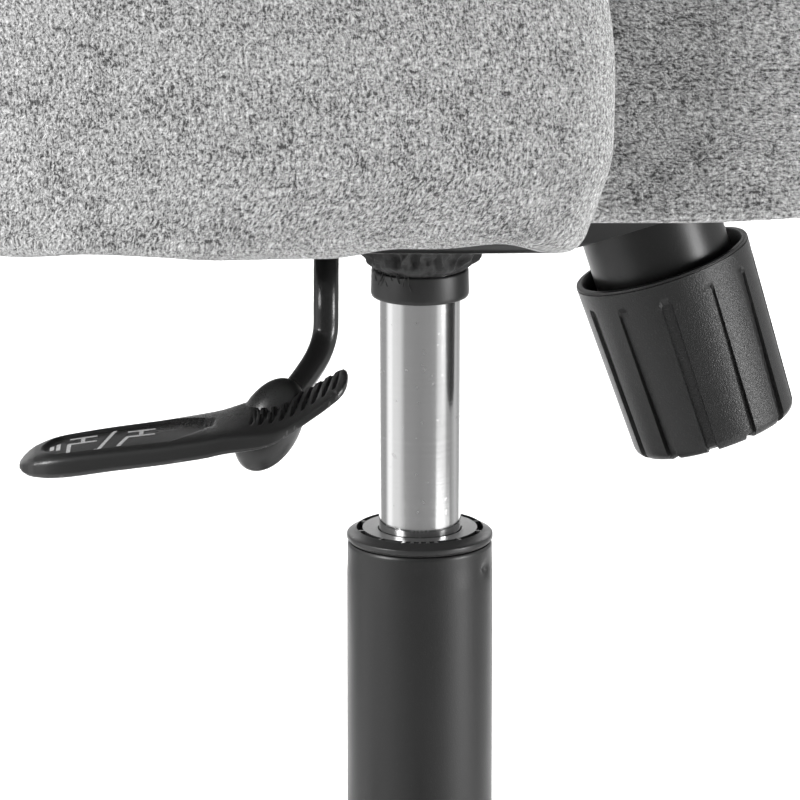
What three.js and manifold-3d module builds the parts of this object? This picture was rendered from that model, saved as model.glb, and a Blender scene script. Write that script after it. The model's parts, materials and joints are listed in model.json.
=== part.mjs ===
// Gas-lift swivel tub seat on a five-star caster base.
// Millimetres, +Z up. The origin is on the floor under the column axis, and the seat faces -Y.
import * as THREE from 'three';
import { mergeVertices } from 'three/addons/utils/BufferGeometryUtils.js';
import Module from 'manifold-3d';

const wasm = await Module();
wasm.setup();

// ---------------------------------------------------------------- driving dimensions

const GAP = 0.3; // clearance between touching pieces
const ROUND = 32; // facets round a column part
const SMALL_ROUND = 16; // facets round a small part
const PIN_ROUND = 12; // facets round a pin or a screw

// five-star base
const LEG_COUNT = 5;
const FIRST_LEG_DEG = 180;
const CASTER_RADIUS = 275; // column axis to caster pivot
const HUB_BOTTOM = 62;
const HUB_TOP = 118;
const SOCKET_BOTTOM = 64; // underside of a leg at its caster socket
const SOCKET_DEPTH = 20;

// casters
const WHEEL_RADIUS = 25;
const WHEEL_FACETS = 20;
const WHEEL_INNER = 5.3; // from the caster's middle plane to a wheel's inner face
const WHEEL_OUTER = 24.3;
const CASTER_TRAIL = 22; // pivot axis to axle
const AXLE_RADIUS = 3;
const AXLE_Z = WHEEL_RADIUS * Math.cos(Math.PI / WHEEL_FACETS); // a flat tread facet lies on the floor
const STEM_RADIUS = 5.5;
const STEM_SPIGOT_RADIUS = 4;

// column
const TUBE_RADIUS = 25;
const TUBE_WALL = 2;
const TUBE_FOOT_RADIUS = 24.2;
const TUBE_FOOT = 60;
const TUBE_TOP = 270.6;
const CAP_TOP = 275.2;
const CYLINDER_RADIUS = 14;
const CYLINDER_FOOT = 185;
const ROD_RADIUS = 5;
const ROD_TOP = 205;

// mechanism, measured up from the collar ring's underside
const COLLAR_Z = 357;
const COLLAR_HEIGHT = 9.5;
const BRACKET_FLOOR = COLLAR_Z + 28;
const CYLINDER_TOP = COLLAR_Z + 56;
const PLATE_BOTTOM = COLLAR_Z + 83.7;
const PLATE_TOP = COLLAR_Z + 86.7;
const STEEL = 3;
const PIVOT_Y = -34;
const PIVOT_Z = COLLAR_Z + 52;
const PIVOT_RADIUS = 6;
const WALL_X = 60; // outer face of the bracket's side walls
const LEVER_Y = 30;
const LEVER_Z = COLLAR_Z + 57;
const LEVER_RADIUS = 4;

// tension knob, on an axis that leans with its foot forward
const KNOB_TILT = THREE.MathUtils.degToRad(17.7);
const KNOB_RIM_Y = -82;
const KNOB_RIM_Z = COLLAR_Z + 12.4;
const KNOB_LENGTH = 62.6;
const KNOB_RIM_RADIUS = 30.5;
const KNOB_FOOT_RADIUS = 28.2;
const HOUSING_RADIUS = 24;

// seat and shell
const BOARD_BOTTOM = COLLAR_Z + 87;
const BOARD_THICKNESS = 12;
const SEAT_BOTTOM = COLLAR_Z + 84;
const SEAT_TOP = 552;
const SEAT_HALF_WIDTH = 260;
const SEAT_FRONT = -302;
const SEAT_CORNER = 62;
const SHELL_BOTTOM = COLLAR_Z + 78;
const SHELL_FRONT_TOP = 648;
const SHELL_BACK_TOP = 800;
const SHELL_FRONT = -60;
const SHELL_HALF_WIDTH = 276; // to the middle of the shell's thickness at its foot
const SHELL_BACK = 246; // likewise, at the back
const SHELL_STRAIGHT_END = 20; // the side runs straight back to here, then curves
const SHELL_CURVE = 2.4; // superellipse power of the back's curve
const SHELL_THICKNESS = 27;

// ---------------------------------------------------------------- materials

function finish(color, roughness, metalness) {
  return new THREE.MeshStandardMaterial({ color, roughness, metalness });
}

const MATERIAL = {
  tweed: () => finish(0xb9b9b9, 0.95, 0),
  blackCloth: () => finish(0x1c1c1c, 0.9, 0),
  blackPlastic: () => finish(0x222222, 0.5, 0),
  nylon: () => finish(0x1d1d1d, 0.55, 0),
  tread: () => finish(0x2a2a2a, 0.7, 0),
  blackPaint: () => finish(0x262626, 0.45, 0.3),
  bright: () => finish(0xc9c9c9, 0.2, 1),
  zinc: () => finish(0x9a9a94, 0.4, 0.9),
  springSteel: () => finish(0x3a3a3a, 0.4, 0.8),
  rubber: () => finish(0x151515, 0.85, 0),
  plywood: () => finish(0xb08d5e, 0.75, 0),
};

// ---------------------------------------------------------------- geometry helpers

// Merges shared vertices, drops collapsed triangles and turns the faces outward.
function weld(geometry) {
  const bare = new THREE.BufferGeometry();
  bare.setAttribute('position', geometry.getAttribute('position').clone());
  if (geometry.index) bare.setIndex(geometry.index.clone());
  const merged = mergeVertices(bare, 1e-3);
  const source = merged.index.array;
  const kept = [];
  for (let i = 0; i < source.length; i += 3) {
    const [a, b, c] = [source[i], source[i + 1], source[i + 2]];
    if (a !== b && b !== c && c !== a) kept.push(a, b, c);
  }
  if (signedVolume(merged.getAttribute('position'), kept) < 0) kept.reverse();
  merged.setIndex(kept);
  return merged;
}

function signedVolume(position, index) {
  const [a, b, c] = [new THREE.Vector3(), new THREE.Vector3(), new THREE.Vector3()];
  let volume = 0;
  for (let i = 0; i < index.length; i += 3) {
    a.fromBufferAttribute(position, index[i]);
    b.fromBufferAttribute(position, index[i + 1]);
    c.fromBufferAttribute(position, index[i + 2]);
    volume += a.dot(b.cross(c)) / 6;
  }
  return volume;
}

function toManifold(geometry) {
  const closed = weld(geometry);
  const vertProperties = new Float32Array(closed.getAttribute('position').array);
  const triVerts = new Uint32Array(closed.index.array);
  return new wasm.Manifold(new wasm.Mesh({ numProp: 3, vertProperties, triVerts }));
}

function fromManifold(manifold) {
  const mesh = manifold.getMesh();
  const geometry = new THREE.BufferGeometry();
  geometry.setAttribute('position', new THREE.BufferAttribute(new Float32Array(mesh.vertProperties), 3));
  geometry.setIndex(new THREE.BufferAttribute(new Uint32Array(mesh.triVerts), 1));
  return geometry;
}

function join(...geometries) {
  return fromManifold(geometries.map(toManifold).reduce((whole, piece) => whole.add(piece)));
}

function cut(body, ...tools) {
  return fromManifold(tools.map(toManifold).reduce((rest, tool) => rest.subtract(tool), toManifold(body)));
}

// A profile of [radius, height] points turned about +Z.
function turned(profile, facets = ROUND) {
  const points = profile.map(([radius, height]) => new THREE.Vector2(radius, height));
  return weld(new THREE.LatheGeometry(points, facets).rotateX(Math.PI / 2));
}

// A ring's profile closes on itself.
function turnedRing(profile, facets = ROUND) {
  return turned([...profile, profile[0]], facets);
}

function washer(inner, outer, bottom, top, facets = SMALL_ROUND) {
  return turnedRing([[inner, bottom], [outer, bottom], [outer, top], [inner, top]], facets);
}

// A plain round bar on +Z.
function bar(radius, bottom, top, facets = SMALL_ROUND) {
  return new THREE.CylinderGeometry(radius, radius, top - bottom, facets)
    .rotateX(Math.PI / 2)
    .translate(0, 0, (bottom + top) / 2);
}

// A round bar along +X.
function barX(radius, start, end, facets = SMALL_ROUND) {
  return bar(radius, start, end, facets).rotateY(Math.PI / 2);
}

// A block between two corners.
function block([x0, y0, z0], [x1, y1, z1]) {
  return new THREE.BoxGeometry(x1 - x0, y1 - y0, z1 - z0)
    .translate((x0 + x1) / 2, (y0 + y1) / 2, (z0 + z1) / 2);
}

// An outline of [y, z] points given a thickness along X.
function plateYZ(outline, x0, x1) {
  const shape = new THREE.Shape(outline.map(([y, z]) => new THREE.Vector2(y, z)));
  return new THREE.ExtrudeGeometry(shape, { depth: x1 - x0, bevelEnabled: false })
    .applyMatrix4(new THREE.Matrix4().set(0, 0, 1, x0, 1, 0, 0, 0, 0, 1, 0, 0, 0, 0, 0, 1));
}

// An outline of [x, z] points given a thickness along Y.
function plateXZ(outline, y0, y1) {
  const shape = new THREE.Shape(outline.map(([x, z]) => new THREE.Vector2(x, z)));
  return new THREE.ExtrudeGeometry(shape, { depth: y1 - y0, bevelEnabled: false })
    .rotateX(Math.PI / 2)
    .translate(0, y1, 0);
}

// A round bar along a smooth path.
function bentBar(points, radius, sides, steps) {
  const section = new THREE.Shape().absarc(0, 0, radius, 0, Math.PI * 2);
  const outline = new THREE.Shape(section.getSpacedPoints(sides).slice(0, sides));
  const path = new THREE.CatmullRomCurve3(points, false, 'centripetal');
  return new THREE.ExtrudeGeometry(outline, { steps, extrudePath: path, bevelEnabled: false });
}

// A closed solid through a list of rings, each with the same number of [x, y, z] points.
function loft(rings) {
  const count = rings[0].length;
  const points = rings.flat();
  const index = [];
  for (let ring = 0; ring + 1 < rings.length; ring += 1) {
    for (let i = 0; i < count; i += 1) {
      const a = ring * count + i;
      const b = ring * count + (i + 1) % count;
      index.push(a, b, a + count, b, b + count, a + count);
    }
  }
  for (const [ring, forward] of [[0, false], [rings.length - 1, true]]) {
    const centre = [0, 1, 2].map((axis) => rings[ring].reduce((sum, p) => sum + p[axis], 0) / count);
    points.push(centre);
    for (let i = 0; i < count; i += 1) {
      const edge = [ring * count + i, ring * count + (i + 1) % count];
      index.push(...(forward ? edge : edge.reverse()), points.length - 1);
    }
  }
  const geometry = new THREE.BufferGeometry();
  geometry.setAttribute('position', new THREE.Float32BufferAttribute(points.flat(), 3));
  geometry.setIndex(index);
  return geometry;
}

function smoothstep(from, to, value) {
  return THREE.MathUtils.smoothstep(value, from, to);
}

const group = new THREE.Group();

function place(name, geometry, material, parent = group) {
  const mesh = new THREE.Mesh(weld(geometry), material());
  mesh.name = name;
  parent.add(mesh);
  return mesh;
}

// ---------------------------------------------------------------- five-star base

// One leg along +X: a box section that gets narrower and lower, open underneath.
function legBody() {
  const stations = [
    { x: 26, half: 23, bottom: 66, top: 114 },
    { x: 90, half: 22, bottom: 68, top: 110 },
    { x: 190, half: 18, bottom: 65, top: 99 },
    { x: 262, half: 17, bottom: SOCKET_BOTTOM, top: 92 },
    { x: 285, half: 15, bottom: SOCKET_BOTTOM, top: 89 },
    { x: 294, half: 9, bottom: SOCKET_BOTTOM, top: 86 },
  ];
  const shoulder = 6;
  return loft(stations.map(({ x, half, bottom, top }) => [
    [x, -half, bottom],
    [x, half, bottom],
    [x, half, top - shoulder],
    [x, half - shoulder, top],
    [x, shoulder - half, top],
    [x, -half, top - shoulder],
  ]));
}

function legHollow() {
  const wall = 4;
  const roof = 5;
  const stations = [
    { x: 48, half: 23 - wall, top: 112 - roof - wall },
    { x: 190, half: 18 - wall, top: 99 - roof - wall },
    { x: 252, half: 17 - wall, top: 93 - roof - wall },
  ];
  return loft(stations.map(({ x, half, top }) => [
    [x, -half, 50],
    [x, half, 50],
    [x, half - wall, top],
    [x, wall - half, top],
  ]));
}

function legAngle(index) {
  return THREE.MathUtils.degToRad(FIRST_LEG_DEG + index * 360 / LEG_COUNT);
}

function fiveStarBase() {
  const hub = turned([
    [0, HUB_BOTTOM],
    [36, HUB_BOTTOM],
    [41, 72],
    [39, 108],
    [34, HUB_TOP],
    [0, HUB_TOP],
  ]);
  const legs = [];
  const removed = [];
  for (let i = 0; i < LEG_COUNT; i += 1) {
    legs.push(legBody().rotateZ(legAngle(i)));
    removed.push(legHollow().rotateZ(legAngle(i)));
    const socket = bar(STEM_RADIUS + GAP, 40, SOCKET_BOTTOM + SOCKET_DEPTH, PIN_ROUND);
    removed.push(socket.translate(CASTER_RADIUS, 0, 0).rotateZ(legAngle(i)));
  }
  const bore = turned([
    [0, 40],
    [TUBE_FOOT_RADIUS + GAP, 40],
    [TUBE_FOOT_RADIUS + GAP, TUBE_FOOT],
    [TUBE_RADIUS + GAP, HUB_TOP],
    [TUBE_RADIUS + GAP, 140],
    [0, 140],
  ]);
  return cut(join(hub, ...legs), bore, ...removed);
}

place('five_star_base', fiveStarBase(), MATERIAL.nylon);

// ---------------------------------------------------------------- casters

function casterStem() {
  return turned([
    [0, 49],
    [STEM_SPIGOT_RADIUS, 49],
    [STEM_SPIGOT_RADIUS, 61.2],
    [8, 61.2],
    [8, SOCKET_BOTTOM - GAP],
    [STEM_RADIUS, SOCKET_BOTTOM - GAP],
    [STEM_RADIUS, SOCKET_BOTTOM + SOCKET_DEPTH - 1],
    [0, SOCKET_BOTTOM + SOCKET_DEPTH - 1],
  ], PIN_ROUND);
}

// The hood covers the wheels' upper half and carries the middle web, with the axle at y = -CASTER_TRAIL.
function casterHood() {
  const outer = WHEEL_RADIUS + 4;
  const inner = WHEEL_RADIUS + 1.6;
  const [open, shut] = [-0.15, Math.PI * 0.98];
  const arch = new THREE.Shape();
  arch.absarc(-CASTER_TRAIL, AXLE_Z, outer, open, shut, false);
  arch.absarc(-CASTER_TRAIL, AXLE_Z, inner, shut, open, true);
  const archPoints = arch.getPoints(8).map((p) => [p.x, p.y]);
  const web = new THREE.Shape().absarc(-CASTER_TRAIL, AXLE_Z, inner + 1, open, shut, false);
  const webPoints = [...web.getPoints(8).map((p) => [p.x, p.y]), [-CASTER_TRAIL - 10, 12], [-CASTER_TRAIL + 10, 12]];
  const halfHood = WHEEL_OUTER - 0.3;
  const halfWeb = WHEEL_INNER - 0.8;
  const boss = bar(9, 47.5, 60.9, PIN_ROUND);
  const hood = join(
    plateYZ(archPoints, -halfHood, halfHood),
    plateYZ(webPoints, -halfWeb, halfWeb),
    boss,
  );
  const stemHole = bar(STEM_SPIGOT_RADIUS + GAP, 48.5, 90, PIN_ROUND);
  const axleHole = barX(AXLE_RADIUS + GAP, -40, 40, PIN_ROUND).translate(0, -CASTER_TRAIL, AXLE_Z);
  return cut(hood, stemHole, axleHole);
}

// A wheel about +X, dished on its outer face.
function casterWheel() {
  const profile = [
    [AXLE_RADIUS + GAP, WHEEL_INNER],
    [WHEEL_RADIUS, WHEEL_INNER],
    [WHEEL_RADIUS, WHEEL_OUTER - 3],
    [WHEEL_RADIUS - 3, WHEEL_OUTER],
    [14, WHEEL_OUTER],
    [AXLE_RADIUS + GAP, WHEEL_OUTER - 2.5],
  ];
  const halfFacet = Math.PI / WHEEL_FACETS;
  return turnedRing(profile, WHEEL_FACETS).rotateZ(halfFacet).rotateY(Math.PI / 2);
}

function addCaster(index) {
  const caster = new THREE.Group();
  const angle = legAngle(index);
  caster.position.set(CASTER_RADIUS * Math.cos(angle), CASTER_RADIUS * Math.sin(angle), 0);
  caster.rotation.z = angle;
  group.add(caster);
  const number = index + 1;
  place(`caster_${number}_stem`, casterStem(), MATERIAL.zinc, caster);
  place(`caster_${number}_hood`, casterHood(), MATERIAL.nylon, caster);
  const axle = barX(AXLE_RADIUS, 1.8 - WHEEL_OUTER, WHEEL_OUTER - 1.8, PIN_ROUND);
  const wheels = { inner_wheel: -1, outer_wheel: 1 };
  const running = new THREE.Group();
  running.position.set(0, -CASTER_TRAIL, AXLE_Z);
  caster.add(running);
  place(`caster_${number}_axle`, axle, MATERIAL.zinc, running);
  for (const [name, side] of Object.entries(wheels)) {
    const wheel = casterWheel();
    if (side < 0) wheel.rotateZ(Math.PI);
    place(`caster_${number}_${name}`, wheel, MATERIAL.tread, running);
  }
}

for (let i = 0; i < LEG_COUNT; i += 1) addCaster(i);

// ---------------------------------------------------------------- column

place('outer_column_tube', turnedRing([
  [8, TUBE_FOOT],
  [TUBE_FOOT_RADIUS, TUBE_FOOT],
  [TUBE_RADIUS, HUB_TOP],
  [TUBE_RADIUS, TUBE_TOP],
  [TUBE_RADIUS - TUBE_WALL, TUBE_TOP],
  [TUBE_RADIUS - TUBE_WALL, TUBE_FOOT + 4],
  [8, TUBE_FOOT + 4],
]), MATERIAL.blackPaint);

place('column_bushing', turnedRing([
  [CYLINDER_RADIUS + GAP, 192],
  [TUBE_RADIUS - TUBE_WALL - GAP, 192],
  [TUBE_RADIUS - TUBE_WALL - GAP, TUBE_TOP + GAP],
  [TUBE_RADIUS - 0.2, TUBE_TOP + GAP],
  [TUBE_RADIUS - 0.2, CAP_TOP - 1.6],
  [TUBE_RADIUS - 1.8, CAP_TOP],
  [CYLINDER_RADIUS + 1, CAP_TOP],
  [CYLINDER_RADIUS + GAP, CAP_TOP - 1.5],
]), MATERIAL.blackPlastic);

place('gas_cylinder', turned([
  [0, 312],
  [ROD_RADIUS + GAP, 312],
  [ROD_RADIUS + GAP, CYLINDER_FOOT],
  [CYLINDER_RADIUS - 1, CYLINDER_FOOT],
  [CYLINDER_RADIUS, CYLINDER_FOOT + 2],
  [CYLINDER_RADIUS, COLLAR_Z + 18],
  [CYLINDER_RADIUS - 0.9, CYLINDER_TOP],
  [3 + GAP, CYLINDER_TOP],
  [3 + GAP, CYLINDER_TOP - 20],
  [0, CYLINDER_TOP - 20],
]), MATERIAL.bright);

place('piston_rod', turned([
  [0, 50],
  [ROD_RADIUS, 50],
  [ROD_RADIUS, 57],
  [ROD_RADIUS - 1, 57],
  [ROD_RADIUS - 1, 59.3],
  [ROD_RADIUS, 59.3],
  [ROD_RADIUS, ROD_TOP],
  [0, ROD_TOP],
], SMALL_ROUND), MATERIAL.bright);

place('retaining_clip', washer(ROD_RADIUS - 1 + GAP, 8.5, 57.3, 59), MATERIAL.zinc);
place('thrust_bearing', washer(ROD_RADIUS + GAP, 15, TUBE_FOOT + 4 + GAP, 70), MATERIAL.zinc);
place('rod_bumper', washer(ROD_RADIUS + GAP, 12, 70 + GAP, 84), MATERIAL.rubber);

place('valve_button', turned([
  [0, CYLINDER_TOP - 12],
  [3, CYLINDER_TOP - 12],
  [3, CYLINDER_TOP + 4.5],
  [7, CYLINDER_TOP + 4.5],
  [7, CYLINDER_TOP + 7.5],
  [0, CYLINDER_TOP + 7.5],
], SMALL_ROUND), MATERIAL.zinc);

place('collar_ring', washer(CYLINDER_RADIUS + GAP, 16.5, COLLAR_Z, COLLAR_Z + COLLAR_HEIGHT, ROUND), MATERIAL.blackPlastic);

// The boot's foot sits just over the ring, and its mouth opens below the bracket.
place('cylinder_boot', turnedRing([
  [15.2, COLLAR_Z + COLLAR_HEIGHT + GAP],
  [16.4, COLLAR_Z + COLLAR_HEIGHT + GAP],
  [20.6, COLLAR_Z + 14],
  [28.5, COLLAR_Z + 27.4],
  [27.2, COLLAR_Z + 27.4],
  [19.4, COLLAR_Z + 14.6],
], ROUND), MATERIAL.blackCloth);

// ---------------------------------------------------------------- tilt mechanism

// A point on the knob's axis, at a distance up from the rim's centre.
function knobAxisPoint(distance) {
  return {
    y: KNOB_RIM_Y + distance * Math.sin(KNOB_TILT),
    z: KNOB_RIM_Z + distance * Math.cos(KNOB_TILT),
  };
}

// Moves a piece built on +Z, with its height 0 at the knob's rim, onto the knob's axis.
function onKnobAxis(geometry) {
  return geometry.rotateX(-KNOB_TILT).translate(0, KNOB_RIM_Y, KNOB_RIM_Z);
}

const BRACKET_BACK = 80;
const BRACKET_BEND = -45; // the floor slopes up forward of here, square to the knob's axis
const BRACKET_FRONT = -105;
const FRONT_RISE = (BRACKET_BEND - BRACKET_FRONT) * Math.tan(KNOB_TILT);

function tiltBaseBracket() {
  const floorFront = BRACKET_FLOOR + FRONT_RISE;
  const wall = [
    [BRACKET_BACK, BRACKET_FLOOR],
    [BRACKET_BACK, COLLAR_Z + 52],
    [0, COLLAR_Z + 66],
    [-62, COLLAR_Z + 66],
    [BRACKET_FRONT, COLLAR_Z + 60],
    [BRACKET_FRONT, floorFront],
    [BRACKET_BEND, BRACKET_FLOOR],
  ];
  const floor = [
    [BRACKET_BACK, BRACKET_FLOOR],
    [BRACKET_BACK, BRACKET_FLOOR + STEEL],
    [BRACKET_BEND, BRACKET_FLOOR + STEEL],
    [BRACKET_FRONT, floorFront + STEEL],
    [BRACKET_FRONT, floorFront],
    [BRACKET_BEND, BRACKET_FLOOR],
  ];
  const inside = WALL_X - STEEL;
  const socket = bar(18, COLLAR_Z + 20, COLLAR_Z + 53, ROUND);
  const body = join(
    plateYZ(wall, -WALL_X, -inside),
    plateYZ(wall, inside, WALL_X),
    plateYZ(floor, -inside - 1, inside + 1),
    socket,
  );
  const cone = turned([
    [0, COLLAR_Z],
    [CYLINDER_RADIUS + GAP, COLLAR_Z],
    [CYLINDER_RADIUS + GAP, COLLAR_Z + 18],
    [CYLINDER_RADIUS - 0.9 + GAP, CYLINDER_TOP],
    [0, CYLINDER_TOP],
  ]);
  const pivotHole = barX(PIVOT_RADIUS + GAP, -80, 80).translate(0, PIVOT_Y, PIVOT_Z);
  const leverHole = barX(LEVER_RADIUS + 1.5, -80, 80).translate(0, LEVER_Y, LEVER_Z);
  const boltHole = onKnobAxis(bar(5.5, 0, 50));
  return cut(body, cone, pivotHole, leverHole, boltHole);
}

place('tilt_base_bracket', tiltBaseBracket(), MATERIAL.blackPaint);

const FLANGE_X = WALL_X + GAP + 0.3; // inner face of the top plate's side flanges
const HOOK_LEVEL = 58; // along the knob's axis, underside of the hook that the tension bolt pulls
const BOLT_PATTERN_X = 76;
const BOLT_PATTERN_Y = [-92, 88];

function tiltTopPlate() {
  const plate = block([-95, -112, PLATE_BOTTOM], [95, 106, PLATE_TOP]);
  const flange = [
    [-62, PLATE_BOTTOM + 1],
    [-48, COLLAR_Z + 42],
    [-20, COLLAR_Z + 42],
    [10, PLATE_BOTTOM + 1],
  ];
  const hookFoot = onKnobAxis(block([-26, -13, HOOK_LEVEL], [26, 13, HOOK_LEVEL + STEEL]));
  const hook = knobAxisPoint(HOOK_LEVEL);
  const hookSide = (x) => block([x, hook.y - 11, hook.z], [x + STEEL, hook.y + 11, PLATE_BOTTOM + 1]);
  const body = join(
    plate,
    plateYZ(flange, -FLANGE_X - STEEL, -FLANGE_X),
    plateYZ(flange, FLANGE_X, FLANGE_X + STEEL),
    hookFoot,
    hookSide(-26),
    hookSide(26 - STEEL),
  );
  const pivotHole = barX(PIVOT_RADIUS + GAP, -80, 80).translate(0, PIVOT_Y, PIVOT_Z);
  const slot = onKnobAxis(block([-5, -9, HOOK_LEVEL - 3], [5, 9, HOOK_LEVEL + STEEL + 2]));
  const boltHoles = plateBoltPlaces().map(([x, y]) => bar(3.5, PLATE_BOTTOM - 1, PLATE_TOP + 1, 12).translate(x, y, 0));
  return cut(body, pivotHole, slot, ...boltHoles);
}

function plateBoltPlaces() {
  return BOLT_PATTERN_Y.flatMap((y) => [[-BOLT_PATTERN_X, y], [BOLT_PATTERN_X, y]]);
}

place('tilt_top_plate', tiltTopPlate(), MATERIAL.blackPaint);

function tiltPivotPin() {
  const end = FLANGE_X + STEEL + GAP;
  const pin = turned([
    [0, -end - 3],
    [9, -end - 3],
    [9, -end],
    [PIVOT_RADIUS, -end],
    [PIVOT_RADIUS, end + 4],
    [PIVOT_RADIUS - 1, end + 5],
    [0, end + 5],
  ], SMALL_ROUND);
  return pin.rotateY(Math.PI / 2).translate(0, PIVOT_Y, PIVOT_Z);
}

place('tilt_pivot_pin', tiltPivotPin(), MATERIAL.zinc);

// Heights along the knob's axis are measured up from its rim; the sloping floor is at HOUSING_TOP.
const HOUSING_TOP = 25.7;
const HOUSING_FOOT = -48;
const WASHER_LEVEL = -46;
const SPRING_TOP = 8;
const SPRING_RADIUS = 16.5;
const SPRING_WIRE = 2.6;
const SPRING_TURNS = 5;

place('spring_housing', onKnobAxis(turnedRing([
  [HOUSING_RADIUS - 2, HOUSING_FOOT],
  [HOUSING_RADIUS, HOUSING_FOOT],
  [HOUSING_RADIUS, HOUSING_TOP],
  [7, HOUSING_TOP],
  [7, HOUSING_TOP - 2.5],
  [HOUSING_RADIUS - 2, HOUSING_TOP - 2.5],
])), MATERIAL.blackPaint);

function tensionSpring() {
  const bottom = WASHER_LEVEL + 3 + GAP + SPRING_WIRE;
  const height = SPRING_TOP - bottom;
  const pointsPerTurn = 10;
  const points = [];
  for (let i = 0; i <= SPRING_TURNS * pointsPerTurn; i += 1) {
    const angle = (i / pointsPerTurn) * Math.PI * 2;
    const z = bottom + height * (i / (SPRING_TURNS * pointsPerTurn));
    points.push(new THREE.Vector3(SPRING_RADIUS * Math.cos(angle), SPRING_RADIUS * Math.sin(angle), z));
  }
  return onKnobAxis(bentBar(points, SPRING_WIRE, 5, SPRING_TURNS * pointsPerTurn));
}

place('tension_spring', tensionSpring(), MATERIAL.springSteel);
place('spring_washer', onKnobAxis(washer(4 + GAP, 20, WASHER_LEVEL, WASHER_LEVEL + 3)), MATERIAL.zinc);

// The bolt's head is conical underneath, so that the hook can rock below it.
place('tension_bolt', onKnobAxis(turned([
  [0, -56],
  [4, -56],
  [4, HOOK_LEVEL + STEEL + GAP],
  [8, HOOK_LEVEL + STEEL + GAP + 3],
  [8, HOOK_LEVEL + STEEL + 6],
  [0, HOOK_LEVEL + STEEL + 6],
], SMALL_ROUND)), MATERIAL.zinc);

// The knob is an open cup whose boss takes the bolt's foot.
function tensionKnob() {
  const wall = 2.4;
  const floor = 4;
  const foot = -KNOB_LENGTH;
  return onKnobAxis(turned([
    [0, foot],
    [KNOB_FOOT_RADIUS - 4.5, foot],
    [KNOB_FOOT_RADIUS - 1.2, foot + 1.5],
    [KNOB_FOOT_RADIUS, foot + 5],
    [KNOB_RIM_RADIUS, -1],
    [KNOB_RIM_RADIUS - 0.8, 0],
    [KNOB_RIM_RADIUS - wall, 0],
    [KNOB_FOOT_RADIUS - wall, foot + floor],
    [9, foot + floor],
    [9, foot + 12],
    [4 + GAP, foot + 12],
    [4 + GAP, foot + 6],
    [0, foot + 6],
  ]));
}

place('tension_knob', tensionKnob(), MATERIAL.blackPlastic);

// ---------------------------------------------------------------- lift and tilt-lock lever

// The rod's middle line: press arm over the valve button, straight shaft, bend down, bend out to the handle.
const HANDLE_X = -235;
const HANDLE_BOSS = new THREE.Vector3(HANDLE_X, 47.5, COLLAR_Z + 16);

function leverPath() {
  const armZ = CYLINDER_TOP + 7.5 + GAP + LEVER_RADIUS;
  return [
    new THREE.Vector3(0, -2, armZ),
    new THREE.Vector3(0, 12, armZ),
    new THREE.Vector3(-2, 23, armZ - 2),
    new THREE.Vector3(-9, 29, LEVER_Z + 1.5),
    new THREE.Vector3(-20, LEVER_Y, LEVER_Z),
    new THREE.Vector3(-70, LEVER_Y, LEVER_Z),
    new THREE.Vector3(-172, LEVER_Y, LEVER_Z),
    new THREE.Vector3(-185, LEVER_Y, LEVER_Z - 4),
    new THREE.Vector3(-190, LEVER_Y, LEVER_Z - 14),
    new THREE.Vector3(-191, 30.3, COLLAR_Z + 34),
    new THREE.Vector3(-196, 32.5, COLLAR_Z + 28),
    new THREE.Vector3(-225, 43.6, COLLAR_Z + 19),
    HANDLE_BOSS.clone(),
  ];
}

place('lever_rod', bentBar(leverPath(), LEVER_RADIUS, 8, 46), MATERIAL.blackPaint);

// One cross-section of the paddle: a flattened superellipse in the XZ plane.
function paddleRing({ y, z, half, thick }) {
  const ring = [];
  const sides = 12;
  for (let i = 0; i < sides; i += 1) {
    const angle = (i / sides) * Math.PI * 2;
    const [c, s] = [Math.cos(angle), Math.sin(angle)];
    const x = HANDLE_X + half * Math.sign(c) * Math.abs(c) ** 0.5;
    ring.push([x, y, z + (thick / 2) * Math.sign(s) * Math.abs(s) ** 0.5]);
  }
  return ring;
}

function leverHandle() {
  const z = (height) => COLLAR_Z + height;
  const stations = [
    { y: 23, z: z(30.3), half: 2.5, thick: 2 },
    { y: 24.5, z: z(29.2), half: 6.5, thick: 5 },
    { y: 28, z: z(26.8), half: 8.5, thick: 5.6 },
    { y: 36, z: z(21.2), half: 10, thick: 5.4 },
    { y: 44, z: z(17.9), half: 12.5, thick: 6.4 },
    { y: 54, z: z(16.2), half: 16, thick: 7.4 },
    { y: 66, z: z(12.6), half: 18.2, thick: 7.8 },
    { y: 80, z: z(10.8), half: 18.8, thick: 7.2 },
    { y: 96, z: z(9.2), half: 18.8, thick: 7 },
    { y: 108, z: z(7.6), half: 17.4, thick: 6.8 },
    { y: 117, z: z(5.8), half: 12.5, thick: 5.6 },
    { y: 121, z: z(4.3), half: 7.5, thick: 3.6 },
    { y: 124, z: z(3.4), half: 2.5, thick: 1.8 },
  ];
  const boss = new THREE.SphereGeometry(10, 14, 9)
    .rotateX(Math.PI / 2)
    .scale(1, 1, 1.42)
    .rotateX(0.24)
    .translate(HANDLE_BOSS.x, HANDLE_BOSS.y, HANDLE_BOSS.z - 1);
  const rodSocket = bentBar(leverPath().slice(-3), LEVER_RADIUS + GAP + 0.4, 8, 6);
  const socketFoot = new THREE.SphereGeometry(LEVER_RADIUS + GAP + 0.7, 8, 6)
    .translate(HANDLE_BOSS.x, HANDLE_BOSS.y, HANDLE_BOSS.z);
  return cut(join(loft(stations.map(paddleRing)), boss), rodSocket, socketFoot);
}

place('lever_handle', leverHandle(), MATERIAL.blackPlastic);

// The lock plate slides with the rod but does not turn with it.
const LOCK_X = -42;
place('tilt_lock_plate', join(
  washer(LEVER_RADIUS + 1, 9, 0, STEEL).rotateY(Math.PI / 2).translate(LOCK_X, LEVER_Y, LEVER_Z),
  block([LOCK_X, LEVER_Y + 6.5, LEVER_Z - 4], [LOCK_X + STEEL, LEVER_Y + 26, LEVER_Z + 4]),
), MATERIAL.zinc);

// ---------------------------------------------------------------- seat

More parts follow.
